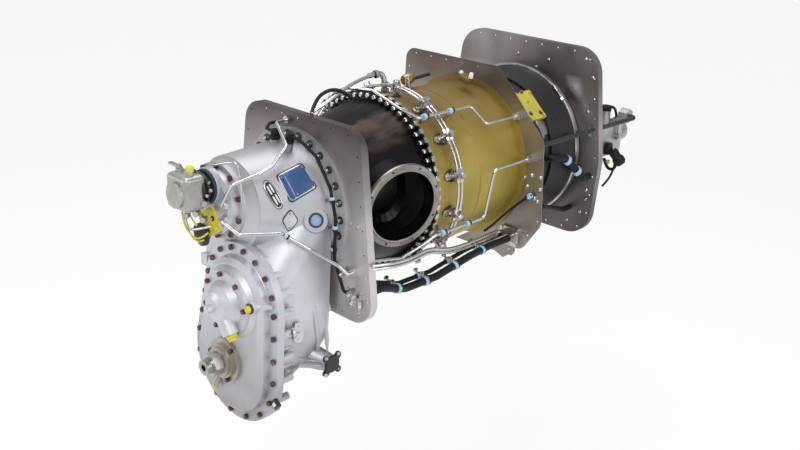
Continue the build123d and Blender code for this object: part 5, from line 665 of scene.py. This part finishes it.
cap("oil_cap_ring", "black_paint", (232.3, 330.8), OIL_CAP_WAY,
    [(-0.008, 0.0178), (0.0035, 0.0178), (0.0035, 0)], 28)
bore = Piece("shaft_gilt_bore", "gilt", "output")
bore.lathe(FORWARD * 0.0002, AFT, [(0, 0.0105), (0.0004, 0.0085), (0.030, 0.0085), (0.030, 0)], 36).done()
lug = Piece("left_lug", "gearbox_paint")
lug.brick(at_station(206, 259, 122), RIGHTWARD, AFT, UPWARD, (0.026, 0.014, 0.032)).done()

# Cushioned clamps: a pale and a dark cushion under a steel strap
dark = Piece("dark_cushions", "black_rubber")


def clamp(cushion, strap, start, end, share, radius, stand=None, width=0.012, thick=0.0046):
    """A cushioned clamp round a straight line between two points, with a tab towards stand."""
    along = (end - start).normalized()
    place = start + (end - start) * share
    half = width * 0.5
    cushion.ring(place - along * width * 0.62, along, radius, radius + thick, half)
    dark.ring(place + along * width * 0.10, along, radius, radius + thick, half)
    strap.ring(place - along * width * 0.14, along, radius + thick * 0.9, radius + thick * 1.2, width * 0.26)
    if stand is not None:
        tab = stand - place
        tab = (tab - along * tab.dot(along)).normalized()
        across = along.cross(tab)
        strap.brick(place + tab * (radius + 0.009), along, across, tab, (width * 0.5, 0.0032, 0.014))
        strap.hexagon(place + tab * (radius + 0.011) - across * 0.0055, across, 0.0048, 0.011)


# On the gearbox: one on the lower pipe and one on each leg of the cable
cushions, straps = Piece("gearbox_cushions", "pale_blue"), Piece("gearbox_straps", "bright_steel")
pipe_start, pipe_end = hit(283.5, 234.5, "gearbox_pipes")[0], hit(290, 238.5, "gearbox_pipes")[0]
clamp(cushions, straps, pipe_start, pipe_end, 0.4, 0.0036, width=0.010, thick=0.0030)
for start, end, share, stand in (((174, 256, 372), (174, 256, 266), 0.25, (100, 256, 330)),
                                 ((154, 256, 440), (174, 256, 372), 0.4, (100, 256, 400))):
    clamp(cushions, straps, row(*start), row(*end), share, 0.0042, row(*stand), width=0.010, thick=0.0026)
finish(cushions, straps)

# On the air lines and the underside hoses
HOSE_POINTS = [(242, 286, 196), (242, 340, 196), (218, 450, 152), (226, 560, 156), (226, 690, 176), (200, 810, 165),
               (200, 888, 165)]
HOSE_CLAMPS = ((1, 0.65), (2, 0.65), (3, 0.55), (4, 0.6))
cushions, straps = Piece("case_cushions", "pale_blue"), Piece("case_straps", "bright_steel")
for y in (570, 668):
    for x, z in ((158, 560), (241, 276)):
        clamp(cushions, straps, row(x, y - 20, z), row(x, y + 20, z), 0.5, 0.0042, row(0, y, 360), 0.013, 0.0036)
clamp(cushions, straps, row(18, 330, 562), row(15, 385, 615), 0.6, 0.0042, row(0, 400, 360))
for leg, share in HOSE_CLAMPS:
    for dx, dz, radius in ((11, 0, 0.0102), (-14, 5, 0.0062)):
        start, end = [row(x + dx, y, z + dz) for x, y, z in HOSE_POINTS[leg:leg + 2]]
        clamp(cushions, straps, start, end, share, radius, row(0, HOSE_POINTS[leg][1], 360), 0.013, 0.0026)
finish(cushions, straps)

# On the leads and hoses between the rear plates
cushions, straps = Piece("rear_cushions", "pale_blue"), Piece("rear_straps", "bright_steel")
clamp(cushions, straps, at_station(531.5, 195.2, 905), at_station(524, 199.5, 903), 0.4, 0.0036, None, 0.016, 0.0036)
for spots in (((568, 159), (573, 164)), ((577, 169), (583, 176))):
    ends = [place - normal * 0.0105 for place, normal in (hit(*spot, "hoses") for spot in spots)]
    clamp(cushions, straps, *ends, 0.5, 0.0110, None, 0.016, 0.003)
finish(cushions, straps, dark)

# Nozzle fittings round the case: a holder with a nut, two screws, black gaskets that also stand in for the painted
# shadow beside each fitting, a lug and four unions at each
NOZZLES, FIRST_NOZZLE, NOZZLE_Y = 14, 13.0, 0.630
fittings, shadow_gaskets = Piece("nozzle_fittings", "bright_steel"), Piece("nozzle_shadow_gaskets", "black_paint")
lugs, unions = Piece("nozzle_lugs", "bright_steel"), Piece("manifold_unions", "tube_steel")
for step in range(NOZZLES):
    angle = FIRST_NOZZLE + 360 * step / NOZZLES
    out, across = facing(angle), facing(angle + 90)
    fittings.hexagon(off_axis(NOZZLE_Y, out, 0.2445), out, 0.0092, 0.010)
    fittings.brick(off_axis(NOZZLE_Y, out, 0.2340), across, AFT, out, (0.020, 0.024, 0.013))
    # Black gasket discs under each fitting: partly a gasket, partly painted shadow
    shadow_gaskets.lathe(off_axis(0.621, out, 0.2148), out, [(0, 0.0165), (0.0028, 0.0165), (0.0032, 0.013), (0.0032, 0)], 22)
    shadow_gaskets.coin(off_axis(0.610, out, 0.2148), out, 0.0125, 0.0030, 22)
    lugs.lathe(off_axis(0.606, out, 0.2170), out,
               [(0, 0.0100), (0.004, 0.0100), (0.005, 0.0050), (0.010, 0.0050), (0.010, 0)], 20)
    for dy in (-0.007, 0.007):
        for way in (-1, 1):
            base = off_axis(NOZZLE_Y + dy, out, 0.2380) + across * way * 0.0062
            unions.hexagon(base, across * way, 0.0056, 0.013)
    for way in (-1, 1):
        fittings.hexagon(off_axis(NOZZLE_Y, out, 0.2225) + AFT * way * 0.0145, out, 0.0042, 0.006)
finish(fittings, shadow_gaskets, lugs, unions)

# Dark washers and bright nuts on the neck flange
NECK_BOLT_R, NECK_BOLTS, NECK_FACE = 0.170, 26, 0.276
washers, nuts = Piece("neck_washers", "black_paint"), Piece("neck_nuts", "bright_steel")
for turn in range(NECK_BOLTS):
    spot = off_axis(NECK_FACE, facing(360 * turn / NECK_BOLTS), NECK_BOLT_R)
    washers.coin(spot, FORWARD, 0.0098, 0.0014, 24)
    washers.lathe(spot, FORWARD, [(0.0060, 0.0070), (0.0074, 0.0066), (0.0074, 0.0)], 20)
    nuts.lathe(spot, FORWARD, [(0.0070, 0.0050), (0.0086, 0.0048), (0.0100, 0.0034), (0.0100, 0)], 16)
finish(washers, nuts)

# Bright nuts, their washers and the clamp plates on the duct's main flange
MAIN_BOLT_R, MAIN_FLANGE_R, MAIN_BOLTS, MAIN_FACE, MAIN_START = 0.225, 0.236, 60, 0.543, 3
plates, bases = Piece("main_flange_plates", "bright_steel"), Piece("main_flange_washers", "black_paint")
for turn in range(MAIN_BOLTS):
    angle = MAIN_START + 360 * turn / MAIN_BOLTS
    out, across = facing(angle), facing(angle + 90)
    spot = off_axis(MAIN_FACE, out, MAIN_BOLT_R)
    bases.coin(spot, FORWARD, 0.0085, 0.0012, 20)
    plates.hexagon(spot + FORWARD * 0.0012, FORWARD, 0.0066, 0.0100)
    plates.brick(off_axis(MAIN_FACE + 0.005, out, MAIN_FLANGE_R + 0.0010), across, AFT, out, (0.014, 0.013, 0.004))
finish(plates, bases)

# Governor group at the front: ring, fittings and the yellow-tied leads
low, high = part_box("governor_body")
middle = (low + high) / 2
band = Piece("governor_bands", "black_paint")
band.ring(Vector((middle.x, high.y - 0.012, middle.z)), AFT, 0.036, 0.043, 0.006, 36).done()
FITTING_WAY = Vector((0.55, -0.75, 0.1))
fitting = Piece("governor_fittings", "bright_steel")
for spot in ((190, 206, 10), (197, 213, 22), (204, 219, 30), (206, 203, 30), (187, 215, 4)):
    place = at_station(*spot)
    fitting.hexagon(place, FITTING_WAY, 0.0085, 0.013)
    fitting.lathe(place - FITTING_WAY * 0.014, FITTING_WAY, [(0, 0.0055), (0.018, 0.0055)], 16)
fitting.done()
unit = Piece("governor_lower_body", "black_paint")
unit.lathe(at_station(201, 236, 40) + UPWARD * 0.024, (-0.1, 0.25, -1),
           [(0, 0), (0, 0.017), (0.004, 0.019), (0.030, 0.019), (0.036, 0.016), (0.048, 0.012), (0.048, 0)], 28).done()
TIES = [[(182, 212, 0), (184, 226, 6), (192, 236, 14), (200, 240, 22), (208, 233, 30)],
        [(184, 216, 4), (188, 231, 14), (197, 243, 30), (204, 240, 36)],
        [(190, 215, 8), (193, 221, 12), (197, 226, 16)]]
for count, run in enumerate(TIES):
    wire(f"yellow_lead_{count}", "yellow", run, 0.0022)
SPARE_CAP_BOLTS = [(212.8, 218.5), (208.5, 231)]
studs("spare_cap_bolts", "black_paint", SPARE_CAP_BOLTS, "transit_caps", 0.0062, 0.004, 16)
studs("spare_cap_heads", "bright_steel", SPARE_CAP_BOLTS, "transit_caps", 0.0034, 0.0065, 16)
studs("adapter_bolts", "bright_steel", [(209.9, 190.5), (207.2, 195.9), (208.3, 183)], "governor_adapter", 0.0046,
      0.006, 16)
wire("drain_tube", "tube_steel", [(186, 208, 4), (185, 220, 6), (189, 230, 16), (200, 229, 26), (212, 226, 38)], 0.0030)
wire("top_drain_tube", "tube_steel",
     [(214, 165, 62), (225, 163, 68), (236, 162, 76), (239, 170, 80), (241, 186, 82), (242, 203, 84)], 0.0028)

# Steel face and raised rim on each exhaust port's flange, with a bolt in every hole
mounts = {mount["name"]: mount for mount in frame["record"]["mounts"]}
PORT_RIM_R, PORT_FACE_R, PORT_BORE = 0.0965, 0.1070, 0.0905
PORT_FACE = [(-0.004, PORT_BORE), (0.0016, PORT_BORE), (0.0022, PORT_BORE + 0.001), (0.0022, PORT_RIM_R - 0.002),
             (0.0008, PORT_RIM_R), (0.0008, PORT_FACE_R), (-0.0010, PORT_FACE_R + 0.0012),
             (-0.0070, PORT_FACE_R + 0.0012)]
for side in ("right", "left"):
    mount = mounts[f"exhaust_port_{side}"]
    middle, out = Vector(mount["pos_m"]), Vector(mount["axis"]).normalized()
    Piece(f"port_face_{side}", "port_steel").lathe(middle, out, PORT_FACE, 120).done()
    ring_r, count = mount["dims"]["pcd_mm"] * MM / 2, mount["dims"]["count"]
    heads = Piece(f"port_nuts_{side}", "black_paint")
    across = out.cross(UPWARD).normalized()
    over = across.cross(out)
    for turn in range(count):
        angle = 2 * math.pi * (turn + 0.5) / count
        spot = middle + ring_r * (math.cos(angle) * across + math.sin(angle) * over)
        heads.coin(spot + out * 0.0002, out, 0.0032, 0.0014, 14)
    heads.done()

# Vent tube that loops over the duct to the case, with an elbow, unions, and a breather and its rod behind
wire("vent_tube", "tube_steel", [(311, 113, 300), (330, 100, 350), (347, 87, 420), (361, 79, 490), (374, 74.5, 545)],
     0.0045)
wire("vent_elbow", "bright_steel", [(369, 76, 525), (378, 72.5, 560), (384, 76, 575), (385, 86, 580)], 0.0070)
fitting = Piece("vent_fittings", "bright_steel")
for spot, way in (((374.5, 74.5, 545), (0.1, 1, 0.1)), ((384.8, 82, 578), -UPWARD), ((385, 88, 580), -UPWARD)):
    fitting.hexagon(at_station(*spot), way, 0.0105, 0.012)
fitting.done()
breather = Piece("breather", "brass")
breather.lathe(at_station(404, 81, 700), (-0.1, 1, 0.18),
               [(0, 0), (0, 0.0125), (0.004, 0.0150), (0.024, 0.0150), (0.026, 0.0120), (0.034, 0.0120),
                (0.036, 0.0090), (0.036, 0)], 28).done()
wire("breather_rod", "dark_casting", [(409, 80, 730), (418, 77, 790), (429, 74, 850)], 0.0052)

# Sender on the case, with two pale caps
sender = Piece("case_sender", "gold_coat")
sender.brick(at_station(465.5, 78.5, 850), (0.95, 0, -0.30), AFT, (0.30, 0, 0.95), (0.040, 0.026, 0.018)).done()
caps = Piece("case_sender_caps", "white_paint")
for px, py in ((460.5, 76), (470.5, 78)):
    caps.lathe(at_station(px, py, 848), (0.2, 0, 1), [(0, 0.0062), (0.012, 0.0060), (0.015, 0.0042), (0.015, 0)], 18)
caps.done()

# Tubes beside the underside hoses: the second is lower in the picture and further back
UNDERSIDE = ((372, 266, 292), (392, 264, 340), (412, 258, 420), (430, 248, 520), (447, 250, 600), (470, 243, 720),
             (497, 231, 860))
for count, shift in enumerate((0, 7)):
    wire(f"underside_tube_{count}", "tube_steel", [(px, py + shift * 0.5, y + shift) for px, py, y in UNDERSIDE],
         0.0042)

# Rivets and bolts on the plates, the mount pad and the bleed valve's cover
rivets("front_plate_rivets", [(350.7, 224), (358, 227.5), (349, 288), (361, 293), (353, 304)], "front_firewall",
       0.0055, 0.004)
rivets("middle_plate_rivets", [(504, 102), (524, 177), (527, 186), (512, 243), (513, 249), (519, 130)],
       "middle_firewall", 0.0050, 0.004)
rivets("rear_plate_rivets",
       [(586.2, 59.2), (593.1, 77.9), (587.9, 112), (586.2, 189.8), (585.4, 199), (566.9, 219.3), (579.9, 211.3),
        (568.2, 85.9), (548.7, 59.5), (518.2, 53.2), (536, 66.9)], "rear_firewall", 0.0052, 0.004)
studs("mount_pad_bolts", "bright_steel", [(326, 358.4), (338.2, 353.3), (338.2, 368), (325.4, 375)], "mount_pads",
      0.0052, 0.005, 16)
BLEED_BOLTS, BLEED_MIDDLE = [(514.8, 90.6), (524.3, 88.8), (540.3, 112.4), (530.7, 113.6)], (527.3, 102.6)
studs("bleed_cover_bolts", "black_paint", BLEED_BOLTS, "bleed_valve_cover", 0.0062, 0.0050, 16)
studs("bleed_cover_heads", "bright_steel", BLEED_BOLTS + [BLEED_MIDDLE], "bleed_valve_cover", 0.0032, 0.0068, 16)
rivets("plate_bolts",
       [(524.5, 176.9), (531.9, 175.1), (540.6, 177.8), (527.3, 186), (539.9, 189.5), (537.4, 201.5), (534.5, 198.5)],
       "middle_firewall", 0.0060, 0.006)
wire("plate_lead", "black_rubber",
     [(532, 195, 914), (527, 197.5, 905), (519, 203, 900), (511, 209, 892), (500, 218, 872), (491.5, 226, 850),
      (484, 231, 830)], 0.0036)

# Fittings on the front plate beside the gearbox: pixel, direction and size of each
PLATE_FITTINGS = ((346, 270, (0.3, -1, -0.2), 0.0085), (352, 291, (0.6, -1, 0), 0.0080),
                  (356, 297, (0.2, -1, -0.6), 0.0085), (361, 303, (0.5, -0.6, -0.6), 0.0075))
fitting = Piece("front_plate_fittings", "bright_steel")
for px, py, way, size in PLATE_FITTINGS:
    place = hit(px, py, "front_firewall")[0] + FORWARD * 0.004
    fitting.hexagon(place, way, size, 0.014)
    fitting.lathe(place, way, [(0.012, size * 0.6), (0.024, size * 0.6), (0.026, size * 0.4), (0.026, 0)], 18)
fitting.done()

# Black lead over the exhaust duct, and the small bracket at the split line with its pale window
wire("duct_lead", "black_rubber", [(312, 112, 300), (316, 98, 330), (330, 89, 360), (343, 91, 395), (352, 98, 420)],
     0.0045)
BRACKET_AXES = ((0.75, 0, -0.62), AFT, (0.62, 0, 0.75))
spot = at_station(276, 404, 96)
Piece("split_bracket", "black_paint").brick(spot, *BRACKET_AXES, (0.024, 0.010, 0.022)).done()
window = Piece("split_bracket_window", "white_paint")
window.brick(spot + FORWARD * 0.0055, *BRACKET_AXES, (0.009, 0.003, 0.011)).done()

# Rear accessories: cap of the filter, leads, boot, connector and yellow cap
top = Piece("filter_cap", "black_rubber", slot="black_rubber")
top.lathe(row(150, 1450, 440), UPWARD, [(0, 0.0168), (0.012, 0.0172), (0.016, 0.0145), (0.016, 0)], 28).done()
wire("rear_lead", "black_rubber", [(604, 108, 1450), (612, 105, 1450), (617, 112, 1455), (616, 122, 1460)], 0.0042)
wire("rear_loop", "black_rubber",
     [(604, 158, 1440), (606, 168, 1440), (614, 170, 1450), (617, 160, 1460), (614, 150, 1460)], 0.0050)
wire("rear_tail", "black_rubber", [(615, 161, 1450), (613, 176, 1440), (602, 186, 1400)], 0.0035)
start, end = at_station(612, 150, 1450), at_station(622, 165, 1460)
Piece("rear_boot", "black_rubber").lathe(
    start, end - start, [(0, 0), (0, 0.012), (0.010, 0.016), (0.026, 0.015), (0.034, 0.020), (0.048, 0.019),
                         (0.056, 0.012), (0.056, 0)], 26).done()
Piece("rear_connector", "black_rubber").lathe(
    at_station(608, 143, 1450), (0.1, 0, -1),
    [(0, 0), (0, 0.013), (0.006, 0.0155), (0.030, 0.0155), (0.036, 0.013), (0.036, 0)], 26).done()
Piece("rear_yellow_cap", "yellow").lathe(
    at_station(605.5, 161.5, 1445), (1, 0.2, 0.1),
    [(0, 0), (0, 0.0052), (0.004, 0.0072), (0.011, 0.0072), (0.013, 0.0050), (0.013, 0)], 22).done()

# Wing of the middle plate: a flat sheet across the engine at the plate's station
WING = [(455.5, 237), (482, 226), (500, 238), (514.7, 245.3), (514.7, 251.4), (511.6, 255.5), (479, 245.3)]
WING_Y, WING_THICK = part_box("middle_firewall")[0].y / MM + 0.4, 0.0012
wing = Piece("middle_plate_wing", "titanium_sheet")
fore, rear = [[wing.bm.verts.new(at_station(*spot, WING_Y) + AFT * depth) for spot in WING]
              for depth in (0, WING_THICK)]
wing.bm.faces.new(fore)
wing.bm.faces.new(rear)
for k in range(len(WING)):
    n = (k + 1) % len(WING)
    wing.bm.faces.new((fore[k], fore[n], rear[n], rear[k]))
wing.done()
pad("inlet_segment", "sheet_steel", [(534, 119), (545, 117.7), (548.8, 127), (551.2, 137.3), (543.5, 138.4)],
    "inlet_case", lift=0.001, thick=0.001)

# Turnbuckle and bolt on the screen's clamp band
start, end = hit(552, 86, "screen_clamp")[0], hit(566, 108, "screen_clamp")[0]
way = (end - start).normalized()
start += (start - Vector((0, start.y, AXIS_Z))).normalized() * 0.006
buckle = Piece("clamp_turnbuckle", "bright_steel")
buckle.lathe(start, way, [(0, 0.003), (0.010, 0.003), (0.010, 0.007), (0.024, 0.007), (0.024, 0.003),
                          (0.050, 0.003)], 16)
buckle.hexagon(start + way * 0.048, way, 0.007, 0.009)
buckle.done()

# Bulge of the rear plate: a thin sheet that lies on it and swells in its middle
BULGE, BULGE_GRID, BULGE_LIFT, BULGE_HEIGHT = [(562, 73), (584, 78), (584, 106), (564, 98)], 18, 0.0004, 0.013
grid = []
for i in range(BULGE_GRID):
    line = []
    for j in range(BULGE_GRID):
        u, v = j / (BULGE_GRID - 1), i / (BULGE_GRID - 1)
        place, normal = hit(*between(BULGE, u, v), "rear_firewall")
        swell = max(0.0, 1 - (2 * u - 1) ** 2) ** 2 * max(0.0, 1 - (2 * v - 1) ** 2) ** 2
        line.append((place + normal * (BULGE_LIFT + BULGE_HEIGHT * swell), normal))
    grid.append(line)
Piece("rear_plate_bulge", "dark_sheet").slab(grid, 0.0003).done(60)

# White floor: it glows by a share where a camera, mirror or glass ray looks, so that it is white there
FLOOR_Z, FLOOR_HALF, FLOOR_GLOW = -0.62, 14.0, 0.86
floor = bpy.data.meshes.new("floor")
floor.from_pydata([(x * FLOOR_HALF, y * FLOOR_HALF, FLOOR_Z) for x, y in ((-1, -1), (1, -1), (1, 1), (-1, 1))], [],
                  [(0, 1, 2, 3)])
look = Look("floor_white")
tint = look.ramp(look.noise(0.6), [(0.3, (0.93, 0.93, 0.93)), (0.7, (0.95, 0.95, 0.95))])
look.links.new(tint, look.shader.inputs["Base Color"])
look.shader.inputs["Roughness"].default_value = 0.9
glow = look.nodes.new("ShaderNodeEmission")
glow.inputs["Strength"].default_value = 1.0
rays = look.nodes.new("ShaderNodeLightPath").outputs
seen = rays["Is Camera Ray"]
for name in ("Is Glossy Ray", "Is Transmission Ray"):
    seen = look.maths("MAXIMUM", seen, rays[name])
both = look.nodes.new("ShaderNodeMixShader")
for socket, source in zip(both.inputs, (look.maths("MULTIPLY", seen, FLOOR_GLOW), look.shader.outputs["BSDF"],
                                        glow.outputs["Emission"])):
    look.links.new(source, socket)
look.links.new(both.outputs["Shader"], look.nodes["Material Output"].inputs["Surface"])
floor.materials.append(look.made)
floor_object = bpy.data.objects.new("floor", floor)
scene.collection.objects.link(floor_object)

# World: a cool even light, and white where the camera looks
WORLD_LIGHT, WORLD_COLOUR = 0.50, (0.94, 0.96, 1, 1)
world = bpy.data.worlds.new("world")
scene.world = world
world.use_nodes = True
nodes, links = world.node_tree.nodes, world.node_tree.links
plain = nodes["Background"]
plain.inputs["Color"].default_value = WORLD_COLOUR
plain.inputs["Strength"].default_value = WORLD_LIGHT
white = nodes.new("ShaderNodeBackground")
white.inputs["Color"].default_value = (1, 1, 1, 1)
both = nodes.new("ShaderNodeMixShader")
path = nodes.new("ShaderNodeLightPath")
for socket, source in zip(both.inputs, (path.outputs["Is Camera Ray"], plain.outputs["Background"],
                                        white.outputs["Background"])):
    links.new(source, socket)
links.new(both.outputs["Shader"], nodes["World Output"].inputs["Surface"])

# Lamps: name, place, target, size in metres and power in watts
LAMPS = (("key", (1.6, -1.8, 2.6), (0, 0.5, 0.3), 1.4, 44), ("top", (-0.4, 0.7, 3.0), (0, 0.7, 0.3), 2.0, 50),
         ("side", (3.2, 1.2, 1.4), (0, 0.8, 0.3), 1.4, 24), ("front", (-1.6, -2.2, 1.0), (0, 0, 0.2), 1.2, 16))
for name, place, target, size, power in LAMPS:
    data = bpy.data.lights.new(name, "AREA")
    data.size, data.energy, data.color = size, power, (1, 1, 1)
    made = bpy.data.objects.new(name, data)
    made.location = place
    made.rotation_euler = (Vector(target) - Vector(place)).to_track_quat("-Z", "Y").to_euler()
    scene.collection.objects.link(made)

scene.view_settings.view_transform = "Standard"
